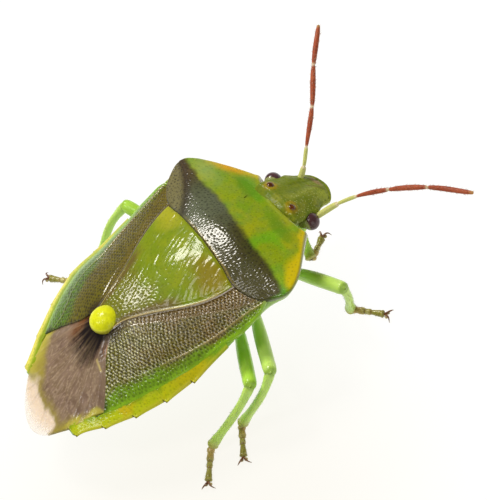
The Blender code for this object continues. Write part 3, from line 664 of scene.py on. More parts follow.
def tube_parts(points, radii, sides, lobes=None):
    """Places and faces of a closed tube; lobes shapes its cross-section."""
    points = np.asarray(points, float)
    aside, up = ring_frames(points)
    turn = np.linspace(0, 2 * math.pi, sides, endpoint=False)
    swell = np.ones(sides) if lobes is None else lobes(turn)
    across = np.cos(turn) * swell
    over = np.sin(turn) * swell
    radii = np.asarray(radii, float)
    if radii.ndim == 1:
        radii = np.repeat(radii[:, None], sides, 1)
    rings = (
        points[:, None, :] + aside[:, None, :] * (radii * across)[..., None]
        + up[:, None, :] * (radii * over)[..., None]
    )
    index = np.arange(len(points) * sides).reshape(len(points), sides)
    faces = quads(closed(index))
    faces.append(index[0].tolist())
    faces.append(index[-1, ::-1].tolist())
    places = rings.reshape(-1, 3)
    return places, turned_out(places.tolist(), faces)


def merged(parts):
    """Several (places, faces, masks) as one."""
    places = []
    faces = []
    masks = {}
    count = 0
    for part_places, part_faces, part_masks in parts:
        places.append(part_places)
        faces += [[vert + count for vert in face] for face in part_faces]
        for mask_name, values in part_masks.items():
            masks.setdefault(mask_name, []).append(values)
        count += len(part_places)
    return np.concatenate(places), faces, {k: np.concatenate(v) for k, v in masks.items()}


def ball_parts(centre, radii, rings, sides, turn=None, relief=None):
    """Places and faces of a closed ball, and the way out at each place; relief lifts its surface."""
    polar = np.linspace(0, math.pi, rings + 1)[1:-1]
    around = np.linspace(0, 2 * math.pi, sides, endpoint=False)
    around_grid, polar_grid = np.meshgrid(around, polar)
    ways = np.stack((
        np.sin(polar_grid) * np.cos(around_grid), np.sin(polar_grid) * np.sin(around_grid),
        np.cos(polar_grid),
    ), -1)
    lift = 1 if relief is None else 1 + relief(ways)[..., None]
    body = (ways * lift * radii).reshape(-1, 3)
    poles = np.array([(0, 0, radii[2]), (0, 0, -radii[2])])
    places = np.concatenate((body, poles))
    if turn is not None:
        places = places @ np.array(turn.to_3x3()).T
    places = places + centre
    index = closed(np.arange(len(polar) * sides).reshape(len(polar), sides))
    faces = quads(index)
    north = len(body)
    south = north + 1
    for k in range(sides):
        faces.append([north, int(index[0, k + 1]), int(index[0, k])])
        faces.append([south, int(index[-1, k]), int(index[-1, k + 1])])
    all_ways = np.concatenate((ways.reshape(-1, 3), ((0, 0, 1), (0, 0, -1))))
    return places, turned_out(places.tolist(), faces), all_ways


# Materials

class Nodes:
    """Short ways to add and join shader nodes."""

    def __init__(self, tree):
        self.tree = tree

    def add(self, kind, **settings):
        node = self.tree.nodes.new(kind)
        for key, value in settings.items():
            setattr(node, key, value)
        return node

    def join(self, source, target):
        self.tree.links.new(source, target)

    def ramp(self, value, low, high, ends=(0, 1)):
        """A value turned into a share: the first end at low, the second at high."""
        node = self.add("ShaderNodeMapRange", interpolation_type="SMOOTHSTEP")
        self.join(value, node.inputs["Value"])
        for key, number in zip(("From Min", "From Max", "To Min", "To Max"), (low, high, *ends)):
            node.inputs[key].default_value = number
        return node.outputs["Result"]

    def mix(self, factor, first, second):
        """A blend of two colours; the first may come from another node."""
        node = self.add("ShaderNodeMix", data_type="RGBA")
        self.join(factor, node.inputs[MIX_SHARE])
        if isinstance(first, tuple):
            node.inputs[MIX_FIRST].default_value = first
        else:
            self.join(first, node.inputs[MIX_FIRST])
        node.inputs[MIX_SECOND].default_value = second
        return node.outputs[MIX_COLOUR]


class Paint(Nodes):
    """A cuticle material built up from masks, mottling and fine relief."""

    def __init__(self, name, base, roughness=0.5, coat=0.9, subsurface=0.08, bump=0.2):
        self.material = bpy.data.materials.new(name)
        self.material.use_nodes = True
        super().__init__(self.material.node_tree)
        self.shader = self.tree.nodes["Principled BSDF"]
        settings = {
            "Roughness": roughness, "Specular IOR Level": 0.1, "Coat Weight": coat,
            "Coat Roughness": 0.14, "Subsurface Weight": subsurface,
            "Subsurface Radius": (1.0, 1.0, 0.4), "Subsurface Scale": 0.25 * MM,
        }
        for key, value in settings.items():
            self.shader.inputs[key].default_value = value
        self.bump = bump
        self.place = self.add("ShaderNodeTexCoord").outputs["Object"]
        start = self.add("ShaderNodeRGB")
        start.outputs[0].default_value = base
        self.now = start.outputs[0]

    def noise(self, size, detail=3.0):
        """Noise with features about size millimetres wide, as a value near 0.5."""
        node = self.add("ShaderNodeTexNoise")
        node.inputs["Scale"].default_value = 1 / (size * MM)
        node.inputs["Detail"].default_value = detail
        self.join(self.place, node.inputs["Vector"])
        return node.outputs["Fac"]

    def mask(self, name):
        return self.add("ShaderNodeAttribute", attribute_name=name).outputs["Fac"]

    def math(self, operation, first, second):
        node = self.add("ShaderNodeMath", operation=operation)
        for socket, value in zip(node.inputs, (first, second)):
            if isinstance(value, (int, float)):
                socket.default_value = value
            else:
                self.join(value, socket)
        return node.outputs[0]

    def mottle(self, size, colour, amount, low=0.45, high=0.65):
        """Cloudy patches of a colour."""
        share = self.math("MULTIPLY", self.ramp(self.noise(size), low, high), amount)
        self.now = self.mix(share, self.now, colour)

    def over(self, mask, colour, amount=1.0, size=0):
        """A colour laid where a mask is; noise of a size makes the mask's soft edge uneven."""
        share = self.mask(mask)
        if size:
            wave = self.math("MULTIPLY", self.math("SUBTRACT", self.noise(size), 0.5), UNEVENNESS)
            edge = self.math("MULTIPLY", share, self.math("SUBTRACT", 1.0, share))
            share = self.math("ADD", share, self.math("MULTIPLY", wave, edge))
        if amount != 1.0:
            share = self.math("MULTIPLY", share, amount)
        self.now = self.mix(share, self.now, colour)

    def done(self):
        """Join the colour and a fine relief to the shader."""
        self.join(self.now, self.shader.inputs["Base Color"])
        relief = self.add("ShaderNodeBump")
        relief.inputs["Strength"].default_value = self.bump
        relief.inputs["Distance"].default_value = BUMP_DEPTH * MM
        self.join(self.noise(BUMP_SIZE, 2.0), relief.inputs["Height"])
        self.join(relief.outputs["Normal"], self.shader.inputs["Normal"])
        return self.material


# Each material: base colour, surface settings, and layers from the bottom up. A layer is a cloudy
# tint (size, colour, share, and where in the noise it starts and is full) or a colour laid where a
# mask is (mask, colour, share, and the grain of its uneven edge)
PAINTS = {
    "pronotum_cuticle": ((136, 156, 10), {}, [
        (0.9, (160, 164, 14), 0.8),
        (0.5, (106, 148, 12), 0.6),
        (0.3, (120, 146, 50), 0.4),
        ("bright", (104, 170, 20), 0.7, 0.4),
        ("callus", (84, 130, 18), 0.6, 0.25),
        ("front_rim", (150, 150, 40), 0.5, 0.25),
        ("shoulder_green", (80, 150, 20), 0.9, 0.25),
        ("side_yellow", (212, 188, 4), 0.9, 0.25),
        ("side_line", (96, 110, 30), 0.8),
        ("left_orange", (222, 152, 30), 0.75, 0.25),
        # Painted sheen: a pale whitish-green reflection laid over the left front of the shield
        ("left_haze", (140, 172, 104), 0.55, 0.3),
        ("pale_speck", (190, 196, 90), 0.2),
        ("band", (60, 52, 22), 0.95, 0.2),
        # Painted sheen: a cool grey reflection over the left middle of the dark band
        ("band_grey", (98, 106, 82), 0.8, 0.4),
        ("band_brown", (92, 76, 44), 0.8, 0.4),
        ("band_olive", (70, 66, 18), 0.7, 0.4),
        ("facet", (124, 118, 76), 0.85, 0.15),
        ("crease", (50, 34, 24), 0.65, 0.2),
        ("rear_gold", (150, 130, 60), 0.7),
        ("pit", (34, 30, 18), 0.75),
        ("rear_dark", (40, 34, 14), 0.85),
    ]),
    "scutellum_cuticle": ((122, 141, 0), {"coat": 0.55}, [
        (0.7, (145, 156, 6), 0.6),
        (0.4, (110, 136, 0), 0.5),
        ("left_corner", (172, 170, 30), 0.8, 0.25),
        ("olive", (136, 118, 0), 0.85, 0.3),
        ("rear_olive", (112, 110, 24), 0.8, 0.3),
        ("rear_sides", (104, 84, 36), 0.85, 0.25),
        ("base_edge", (186, 188, 70), 0.7),
        ("pit", (70, 76, 10), 0.5),
        ("golden_edge", (228, 200, 150), 0.95),
    ]),
    "knob_cuticle": ((226, 230, 24), {"coat": 0.35, "subsurface": 0.15}, [
        (0.2, (206, 210, 24), 0.7),
        ("rim", (170, 160, 50), 0.8),
        ("pit", (190, 194, 24), 0.4),
    ]),
    "wing_leather": ((106, 93, 24), {"coat": 0.9}, [
        (0.8, (114, 88, 34), 0.7),
        (0.5, (90, 92, 16), 0.6),
        (0.35, (86, 74, 34), 0.45),
        ("clavus", (108, 82, 32), 0.8, 0.25),
        ("rear_olive", (98, 98, 24), 0.7, 0.25),
        ("left_dark", (106, 98, 14), 0.7),
        ("outer", (118, 160, 30), 0.92, 0.25),
        ("left_green", (84, 122, 8), 0.9, 0.25),
        (0.25, (70, 60, 20), 0.35, 0.5, 0.68),
        ("edge", (142, 188, 32), 0.9, 0.25),
        ("vein", (176, 156, 104), 0.85),
        ("suture", (70, 54, 30), 0.7),
        ("smooth_base", (70, 56, 34), 0.6),
        ("pit", (44, 38, 16), 0.85),
        # Painted glints: cream dots on the raised beads between the pits of the right wing stand in
        # for glints of light
        ("bead", (222, 216, 166), 0.7),
        ("base_dark", (44, 32, 20), 0.85, 0.25),
        ("apex_dark", (50, 50, 26), 0.8),
    ]),
    "wing_membrane": ((136, 114, 92), {"coat": 0.4, "bump": 0.4}, [
        (0.6, (118, 96, 72), 0.6),
        (0.4, (100, 74, 66), 0.45),
        (0.3, (150, 126, 108), 0.5),
        ("streak", (100, 76, 58), 0.2),
        ("fine_streak", (92, 70, 56), 0.12),
        ("grit", (190, 168, 140), 0.35),
        ("shine", (206, 184, 158), 0.25),
        ("yellow_rim", (162, 148, 56), 0.85, 0.12),
        ("tip", (255, 234, 208), 1.0, 0.15),
        ("rust", (126, 76, 32), 0.85, 0.25),
        ("orange", (206, 130, 40), 0.9),
        # Painted highlight: a pale-yellow streak of light on the membrane
        ("gold", (220, 200, 120), 0.7),
        ("base_dark", (22, 12, 12), 1.0, 0.1),
        ("olive_rim", (190, 180, 70), 0.9, 0.15),
        ("vein", (158, 136, 100), 0.22),
    ]),
    "strip_cuticle": ((186, 196, 16), {"coat": 0.3}, [
        (0.6, (162, 180, 22), 0.8),
        (0.3, (194, 196, 40), 0.5),
        ("front_orange", (196, 174, 10), 0.6, 0.25),
        (0.7, (212, 168, 20), 0.5, 0.55, 0.7),
        ("front_green", (112, 160, 24), 0.95, 0.25),
        ("inner_green", (122, 154, 20), 0.8, 0.25),
        ("left_pale", (240, 230, 112), 0.95, 0.25),
        ("outer_edge", (206, 200, 60), 0.5, 0.25),
        ("joint", (160, 164, 30), 0.2),
        ("pit", (130, 140, 16), 0.5),
        ("tooth", (60, 48, 20), 0.9),
    ]),
    "underside_cuticle": ((158, 196, 92), {"subsurface": 0.15}, [
        (0.8, (176, 206, 110), 0.6),
        (0.4, (134, 180, 74), 0.4),
        ("joint", (120, 164, 66), 0.7),
        ("pit", (124, 160, 66), 0.6),
    ]),
    "head_cuticle": ((114, 128, 20), {"coat": 0.15}, [
        (0.4, (138, 142, 40), 0.7),
        (0.3, (94, 118, 18), 0.5),
        ("pale_ridge", (150, 156, 60), 0.7, 0.2),
        ("pale_lobe", (168, 178, 50), 0.85, 0.2),
        ("pinkish", (160, 116, 84), 0.6, 0.12),
        ("brown_line", (104, 88, 30), 0.6, 0.1),
        # Painted shade: the head's grooves are darkened where shade falls in them
        ("groove", (84, 100, 16), 0.4),
        ("gold_ring", (170, 140, 20), 0.75, 0.15),
        # Painted shade: a darker band just left of the head's midline, along its shallow hollow
        ("dark_left", (84, 106, 18), 0.6, 0.2),
        ("pit", (82, 100, 20), 0.5),
        # Painted glints: pale specks on the right half of the head stand in for small glints of
        # light
        ("speck", (204, 210, 134), 0.8),
        ("rim", (150, 158, 60), 0.5),
    ]),
    "leg_cuticle": ((176, 220, 74), {"coat": 0.5, "subsurface": 0.25, "bump": 0.3}, [
        (0.5, (194, 228, 104), 0.6),
        (0.25, (148, 202, 56), 0.4),
        # The pale layer: all shins are paler, and on the thighs of LIT_THIGHS it is painted light
        ("pale", (204, 230, 130), 0.5, 0.1),
        ("knee", (140, 176, 60), 0.7, 0.1),
        ("foot_end", (176, 160, 90), 0.85, 0.1),
        ("hair", (206, 206, 150), 0.8, 0.1),
    ]),
    "foot_cuticle": ((180, 172, 96), {
        "roughness": 0.45, "coat": 0.5, "subsurface": 0.15, "bump": 0.3,
    }, [
        (0.2, (210, 200, 140), 0.6),
        (0.12, (156, 140, 66), 0.5),
        ("first", (196, 160, 96), 0.6, 0.1),
        ("foot_end", (132, 126, 44), 0.7, 0.1),
        ("knee", (130, 100, 50), 0.7, 0.1),
        ("hair", (206, 196, 150), 0.8, 0.1),
    ]),
    "claw_horn": ((112, 74, 54), {"roughness": 0.25, "coat": 0.5, "subsurface": 0.1, "bump": 0.3}, [
        (0.1, (140, 98, 72), 0.5),
        ("pad", (190, 176, 130), 0.9, 0.1),
    ]),
    "antenna_surface": ((164, 80, 52), {"coat": 0.05, "subsurface": 0.1, "bump": 0.3}, [
        (0.4, (184, 100, 66), 0.6),
        (0.1, (130, 62, 46), 0.5),
        ("root", (200, 202, 120), 1.0, 0.1),
        ("knuckle", (222, 206, 172), 0.95, 0.1),
        ("tip", (196, 150, 90), 0.8, 0.1),
        ("hair", (206, 170, 140), 0.7, 0.1),
    ]),
    "eye_surface": ((74, 48, 50), {"roughness": 0.2, "coat": 0.6, "subsurface": 0.0, "bump": 0.1}, [
        (0.2, (110, 78, 80), 0.5),
        ("pale_rim", (150, 156, 96), 0.95, 0.1),
    ]),
    "ocellus_surface": ((84, 44, 16), {
        "roughness": 0.15, "coat": 0.7, "subsurface": 0.1, "bump": 0.1,
    }, [
        (0.08, (120, 66, 20), 0.6),
        ("rim", (150, 120, 40), 0.8, 0.1),
    ]),
    "stalk_cuticle": ((118, 132, 48), {"coat": 0.8, "subsurface": 0.1, "bump": 0.3}, [
        (0.25, (176, 176, 116), 0.5),
    ]),
}


def painted(name):
    """The material of a name in PAINTS; the membrane is also clear where its tip is pale."""
    base, feel, layers = PAINTS[name]
    paint = Paint(name, rgb(*base), **feel)
    for what, colour, *settings in layers:
        lay_on = paint.over if isinstance(what, str) else paint.mottle
        lay_on(what, rgb(*colour), *settings)
    if name == "wing_membrane":
        clear = paint.math("MULTIPLY", paint.mask("tip"), paint.mask("clear"))
        paint.join(paint.math("SUBTRACT", 1.0, clear), paint.shader.inputs["Alpha"])
    return paint.done()


skins = {name: painted(name) for name in PAINTS}


# Body plates

def stacked(x, y, z):
    return np.stack((x, y, z), -1)


def make_pronotum():
    """The broad shield behind the head, with its dark pitted band."""
    side = route(PRONOTUM_SIDE)
    front = bowed(PRONOTUM_CORNER[0], front_line)
    rear = bowed(PRONOTUM_REAR[-1][0], rear_line)
    x, y = sheet_places(front, rear, mirrored(side), side, *grid("pronotum"))
    to_front, to_rear, to_left, to_right = edge_distances(x, y)
    to_side = np.minimum(to_left, to_right)
    share = across_share(x, y)
    ragged = 0.02 * grain(x / 0.3, y / 0.3, 3) + 0.015 * grain(x / 0.11, y / 0.11, 4)
    shoulder = ease(share, 0.93, 0.99) * ease(y, -0.75, -0.35) * (x > 0)
    band = ease(y + ragged, band_front(x) + 0.1, band_front(x) - 0.1) * (1 - shoulder)
    callus = np.zeros(x.shape)
    for callus_x in CALLUS_X:
        spread = oval(x, y, callus_x, 1.12, 0.66, 0.22) + 6 * ragged
        callus = np.maximum(callus, ease(spread, 1.3, 0.5))
    smooth_rim = ease(np.minimum(to_side, to_front), 0.16, 0.05)
    keep = (1 - 0.85 * callus) * (1 - smooth_rim)

    # Relief
    warp = 0.05 * grain(x / 0.4, y / 0.4, 5)
    coarse = pits(y + warp, x + warp, "band_pits")
    banks = pits(y + warp, x + warp, "band_banks")
    fine = pits(y - warp, x + warp, "pronotum_fine")
    centre = spot(x, y, 0.3, -0.25, 1.1, 0.6)
    depth = (0.013 - 0.002 * centre) * band * (1 - smooth_rim)
    crease = ridge(line_distance(CREASE_LINE, x - 0.08, y), 0.16)
    behind = ease(x - crease_x(y), 0.12, -0.3) * band
    lift = 0.03 - depth * (coarse - 0.55 * (1 - centre) * banks)
    lift += 0.012 * callus + 0.003 * grain(x / 0.3, y / 0.2, 8) - 0.003 * fine * (1 - band) * keep
    lift += 0.014 * ridge(to_front - 0.05, 0.06) - 0.008 * ridge(to_front - 0.17, 0.07)
    lift += 0.14 * spot(x, y, 0.33, 0.06, 1.0, 0.65) - 0.035 * behind
    edge = np.minimum(np.minimum(to_front, to_side), to_rear * 2)
    top = stacked(x, y, back_height(x, y) + lift - rolled(edge, EDGE_RADII["pronotum"]))
    tuck = 1 - 0.08 * ease(share, 0.7, 1.0)
    under = stacked(x * tuck, y, belly_height(x * tuck, y))

    # Colours
    right = ease(x, 0.4, 0.8)
    width = 0.16 + 0.5 * ridge(y - 0.55, 0.42) + 0.16 * ridge(y - 1.45, 0.22)
    from_side = to_side + 2 * ragged
    right_yellow = right * ease(from_side, width, 0.3 * width) * ease(y, 0.05, 0.35)
    left_yellow = 0.75 * (1 - right) * ease(from_side, 0.36, 0.08) * ease(y, 0.5, 0.85)
    shoulder_green = ease(share, 0.84, 0.95) * ease(y, -0.7, -0.3) * ease(y, 0.5, 0.2) * (x > 0)
    patch = grain(x / 0.55 + 7, y / 0.4, 10) + 0.8 * spot(x, y, -1.9, 0.55, 0.9, 0.35)
    band_pits = ease(coarse, 0.1, 0.8) * band
    green_pits = 0.45 * ease(fine, 0.1, 0.8) * keep * (1 - band)
    masks = {
        "band": band,
        # Painted sheen: where a cool grey reflection is laid on the dark band
        "band_grey": band * ridge(x + 1.0, 1.1),
        "band_brown": band * ease(x, -1.8, -2.6),
        "band_olive": band * ease(x, 1.2, 2.4),
        "callus": callus,
        "front_rim": ridge(to_front - 0.04, 0.13),
        "shoulder_green": shoulder_green,
        "side_yellow": right_yellow + left_yellow,
        "side_line": ridge(to_side, 0.03) * right,
        "left_orange": (1 - right) * spot(to_side, y, 0.12, 1.08, 0.2, 0.3),
        "facet": behind * ease(to_rear, 0.0, 0.1),
        "crease": crease * band,
        # Painted sheen: where a pale reflection is laid on the green left front of the shield
        "left_haze": spot(x, y, -2.35, 0.5, 0.7, 0.35) * (1 - band),
        "bright": ease(patch, 0.3, 0.9),
        "pale_speck": ease(pits(y, x, "pale_specks"), 0.2, 0.7) * (1 - band),
        "rear_gold": ridge(to_rear - 0.07, 0.03) * ease(x, -1.3, -0.6) * ease(x, 2.3, 1.6),
        "rear_dark": ridge(to_rear, 0.025),
        "pit": np.maximum(band_pits, green_pits),
    }
    shell("pronotum_skin", top, under, masks, "pronotum_cuticle", ["pronotum"])


def make_scutellum():
    """The triangle between the wings, with wavy cross wrinkles."""
    front = bowed(scutellum_reach(SCUTELLUM_BASE_Y), lambda x: rear_line(x) + PLATE_OVERLAP)
    rear = rounded(scutellum_reach(SCUTELLUM_END_Y), SCUTELLUM_END_Y, -0.1)
    side = lengthwise(SCUTELLUM_BASE_Y, SCUTELLUM_END_Y, scutellum_reach)
    x, y = sheet_places(front, rear, mirrored(side), side, *grid("scutellum"))
    to_front, to_rear, to_left, to_right = edge_distances(x, y)
    to_side = np.minimum(to_left, to_right)
    inner = ease(to_side, 0.06, 0.16)
    rear_part = ease(y, -2.3, -3.2)
    right_side = ease(x, -0.1, 0.1)

    # Relief
    warp = 0.1 * grain(x / 0.5, y / 0.4, 21)
    along = 0.88 * y - 0.47 * x
    across = 0.88 * x + 0.47 * y
    wrinkle = grain((across + 0.5 * warp) / 0.075, along / 0.36, 22)
    wrinkle = np.sign(wrinkle) * np.abs(wrinkle) ** 0.8
    sparse = pits(y + warp, x - warp * 0.5, "scutellum_front")
    dense = pits(y + warp * 0.4, x, "scutellum_rear")
    hollow = sparse * (1 - rear_part) + dense * rear_part
    lift = 0.02 + 0.007 * wrinkle * inner * (1 - 0.3 * rear_part)
    lift += 0.004 * grain(x / 0.5, y / 0.3, 25) - (0.004 + 0.005 * rear_part) * hollow * inner
    lift += 0.085 * spot(x, y, 0.12, -1.85, 0.95, 1) + 0.034 * spot(x, y, 0.63, -3.36, 0.6, 0.6)
    lift += (0.003 + 0.006 * right_side) * ridge(to_side - 0.03, 0.02)
    lift -= (0.004 + 0.011 * right_side) * ridge(to_side - 0.1, 0.05)
    lift -= 0.11 * ease(to_front, 0.28, 0.1)
    edge = np.minimum(to_side, to_rear)
    top = stacked(x, y, back_height(x, y) + lift - rolled(edge, EDGE_RADII["scutellum"]))
    under = stacked(x, y, back_height(x, y) - THICKNESS["scutellum"])

    # Colours
    dirty = 0.2 * grain(x / 0.3, y / 0.3, 26)
    near_side = ease(np.abs(x) / scutellum_reach(y) + dirty * 0.3, 0.62, 0.85)
    masks = {
        "left_corner": ease(x + dirty, -0.7, -1.5) * ease(y, -1.9, -1.2),
        "olive": ease(oval(x, y, 1.3, -1.35, 0.95, 0.65) + dirty, 1.25, 0.3),
        "rear_olive": ease(y + dirty, -2.5, -3.4),
        "rear_sides": near_side * ease(y, -2.2, -2.8) * ease(to_side, 0.03, 0.1),
        "base_edge": ridge(to_front - 0.16, 0.06),
        "golden_edge": ridge(to_side - 0.025, 0.02) * ease(y + 1.6 * (x < 0), -1.3, -1.8),
        "pit": ease(hollow, 0.1, 0.9) * inner * (0.5 + 0.5 * rear_part),
    }
    shell("scutellum_skin", top, under, masks, "scutellum_cuticle", ["scutellum"])


def knob_pits(ways):
    """A few shallow pits over the knob."""
    return pits(ways[..., 0] + 2, ways[..., 1] + 2, "knob")


def make_knob():
    """The smooth yellow knob at the scutellum's tip."""
    at = (*KNOB_AT, back_height(*KNOB_AT) - 0.02)
    places, faces, ways = ball_parts(
        at, KNOB_RADII, rings=48, sides=72, relief=lambda ways: -0.02 * knob_pits(ways),
    )
    masks = {"rim": ease(ways[:, 2], 0.35, 0.05), "pit": knob_pits(ways)}
    make_mesh("scutellum_knob", places, faces, masks, "scutellum_cuticle", paint="knob_cuticle")


def make_corium(side_name, sign):
    """The leathery part of one forewing."""
    line = route(MEMBRANE_LINE)

    def inner_x(y):
        return np.maximum(scutellum_reach(y) - 0.1, MEMBRANE_LINE[0][0])

    def front(s):
        start = inner_x(CORIUM_FRONT_Y)
        x = start + (wing_reach(CORIUM_FRONT_Y) - start) * s
        return x, rear_line(x) + PLATE_OVERLAP

    def rear(s):
        x, y = line(s)
        return np.minimum(x, wing_reach(y)), y

    inner = lengthwise(front(0.0)[1], MEMBRANE_LINE[0][1], inner_x)
    outer = lengthwise(front(1.0)[1], MEMBRANE_LINE[-1][1], wing_reach)
    x, y = sheet_places(front, rear, inner, outer, *grid("corium"))
    to_rear, to_outer = edge_distances(x, y)[1::2]
    from_clavus = x - clavus_line(y)
    from_vein = x - wing_vein(y)
    smooth_base = ease(x - scutellum_reach(y), 0.08, 0.03)
    base_dark = ease(np.hypot(x - 0.35, y + 4.5), 0.62, 0.2)
    apex_dark = ease(np.hypot(x - 1.7, y + 6.05), 0.25, 0.08)
    x = sign * x
    on_right = float(sign > 0)
    on_left = 1 - on_right

    # Relief
    warp = 0.03 * grain(x / 0.4, y / 0.4, 41)
    along = y * 1.08
    in_clavus = ease(from_clavus, 0.02, -0.02)

    def rows_of(kind, shift):
        """Pits or the banks between them, on the main field and on the clavus."""
        main = pits(from_vein + warp, along + warp + shift, "wing_" + kind)
        clavus = pits(from_clavus + warp, along + shift, "clavus_" + kind)
        return main * (1 - in_clavus) + clavus * in_clavus

    hollow = rows_of("pits", 0)
    banks = rows_of("banks", 0.055)
    on_vein = ridge(from_vein, 0.028) * (0.25 + 0.75 * ease(y, -4.2, -3.2))
    keep = (1 - 0.9 * ridge(from_clavus, 0.05)) * (1 - 0.9 * on_vein) * (1 - smooth_base)
    keep = keep * (1 - ease(to_outer, 0.1, 0.03))
    relief = 0.6 + 0.4 * on_right
    line_size = 0.18 * on_right + (0.06 + 0.2 * ease(y, -2.9, -3.5)) * on_left
    lift = -0.02 + relief * (0.012 * banks - 0.016 * hollow) * keep
    lift += 0.006 * grain(x / 0.35, y / 0.5, 44) + 0.03 * on_vein
    lift += line_size * 0.02 * ridge(from_clavus - 0.03, 0.03)
    lift -= line_size * 0.03 * ridge(from_clavus + 0.03, 0.025)
    lift += 0.02 * smooth_base - 0.02 * ease(to_outer, 0.3, 0.0)
    edge = np.minimum(to_outer, to_rear * 1.5)
    top = stacked(x, y, back_height(x, y) + lift - rolled(edge, EDGE_RADII["corium"]))
    under = stacked(x, y, back_height(x, y) - THICKNESS["corium"])

    # Colours
    dirty = 0.1 * grain(x / 0.3, y / 0.3, 45)
    green = ease(from_vein + dirty + 0.5 * ease(y, -2.5, -4.5), -0.1, 0.3)
    # Painted glints: the tops of the raised beads on the right wing, where cream colour stands in
    # for glints
    glint_rows = ease(banks, 0.7, 0.95) * keep * ease(from_vein, 0.2, -0.1)
    masks = {
        "clavus": ease(from_clavus, 0.06, -0.03),
        "rear_olive": ease(y + dirty * 3, -3.8, -5.0),
        "left_dark": np.full(x.shape, on_left),
        "left_green": on_left * green * (0.35 + 0.65 * ease(y, -2.4, -3.6)),
        "outer": ease(from_vein + dirty, -0.14, 0.24),
        "edge": ease(to_outer + dirty * 0.6, 0.14 + 0.12 * on_left, 0.03),
        "vein": on_vein * (0.45 + 0.55 * ease(grain(y / 0.08, x / 0.5, 46), -0.4, 0.3)),
        "suture": line_size * ridge(from_clavus + 0.03, 0.022),
        "smooth_base": smooth_base,
        "base_dark": base_dark,
        "apex_dark": apex_dark,
        "pit": ease(hollow, 0.1, 0.85) * keep * (1 - 0.5 * ease(from_vein, -0.1, 0.25)),
        "bead": on_right * glint_rows * (0.3 + 0.7 * ease(y + dirty * 8, -3.2, -4.4)),
    }
    name = "corium_" + side_name
    shell(name + "_skin", top, under, masks, "wing_leather", [name])


def make_membrane(side_name, sign):
    """The thin rear part of one forewing; each spans the tail, and one lies over the other."""
    half_line = [(x, y + PLATE_OVERLAP) for x, y in MEMBRANE_LINE]
    line = route([(-x, y) for x, y in half_line[::-1]] + half_line)
    side = route([half_line[-1]] + MEMBRANE_SIDE)
    end_x, end_y = MEMBRANE_SIDE[-1]
    rear = bowed(end_x, lambda x: WING_TIP_Y + (end_y - WING_TIP_Y) * (x / end_x) ** 2)
    x, y = sheet_places(line, rear, mirrored(side), side, *grid("membrane"))
    edges = edge_distances(x, y)

    # Relief
    from_base = np.hypot(x, y - FAN_BASE_Y)
    angle = np.arctan2(x, FAN_BASE_Y - y)
    veins = np.zeros(x.shape)
    for way in FAN_VEINS:
        bent = way + 0.05 * np.sin(from_base * 1.6 + way * 9) + 0.03 * sign
        veins = np.maximum(veins, ridge((angle - bent) * from_base, 0.035))
    ripples = grain(angle * 34 + 40, from_base / 0.7, 51)
    fine = grain(angle * 70 + 90, from_base / 0.2, 52)
    grit = grain(x / 0.045 + 20, y / 0.06 + 20, 55)
    fade = ease(from_base, 0.8, 1.3)
    dip = 0.05 * ease(line_distance(MEMBRANE_LINE, np.abs(x), y), 0.25, 0.0)
    sink = MEMBRANE_SINK[side_name] + dip
    lift = fade * (0.008 * veins + 0.003 * ripples + 0.002 * fine + 0.004 * grit) - sink
    lift -= rolled(np.min(edges, axis=0), EDGE_RADII["membrane"])
    top = stacked(x, y, back_height(x, y) + lift)
    under = stacked(x, y, back_height(x, y) - sink - THICKNESS["membrane"])

    # Colours
    ragged = 0.12 * grain(x / 0.3, y / 0.3, 53) + 0.05 * grain(x / 0.08, y / 0.3, 54)
    beyond = brown_rear(x) - (y + ragged)
    near_tip = ease(y + ragged, -7.0, -7.3) * ease(x + ragged, 1.0, 0.7)
    to_outer = np.min(edges[1:], axis=0)
    from_dark = np.hypot((x + 0.06) * 1.1, (y + 5.0) * 0.8) + ragged + 0.12 * ripples + 0.08 * fine
    masks = {
        "vein": veins * fade,
        "streak": ease(ripples, 0.1, 0.8) * fade,
        "fine_streak": ease(-fine, 0.0, 0.8) * fade,
        "grit": ease(grit, 0.25, 0.8) * ease(from_base, 1.2, 1.8),
        "clear": 0.52 + 0.36 * ease(edges[1], 0.6, 0.05),
        "shine": ease(fine, 0.1, 0.7) * spot(x, y, 0.3, -6.4, 1.1, 0.8),
        "yellow_rim": ease(beyond, -0.3, 0.2),
        "tip": ease(beyond, 0.02, 0.2) * near_tip,
        "olive_rim": ease(to_outer + ragged, np.where(x < 0, 0.5, 0.2), 0.02) * ease(y, -7.4, -7.1),
        "orange": spot(x, y, 0.78, -4.98, 0.18, 0.12) * ease(fine, -0.4, 0.2),
        # Painted highlight: a pale-yellow streak of light along this line
        "gold": ridge(line_distance(GOLD_HIGHLIGHT_LINE, x, y), 0.03),
        "rust": ridge(line_distance(RUST_LINE, x, y), 0.28),
        "base_dark": ease(from_dark, 0.9, 0.35),
    }
    name = "membrane_" + side_name
    shell(name + "_skin", top, under, masks, "wing_membrane", [name], step=2)


def toothed_reach(y, tooth):
    """Reach of the body's edge, with a small tooth at the rear of each segment."""
    reach = margin_reach(y)
    for front, rear in zip(SEGMENT_CORNERS_Y, SEGMENT_CORNERS_Y[1:]):
        inside = (y < front) & (y >= rear)
        rise = tooth * np.clip((front - y) / (front - rear), 0, 1) ** 3.5
        reach = np.where(inside, reach + rise, reach)
    return reach


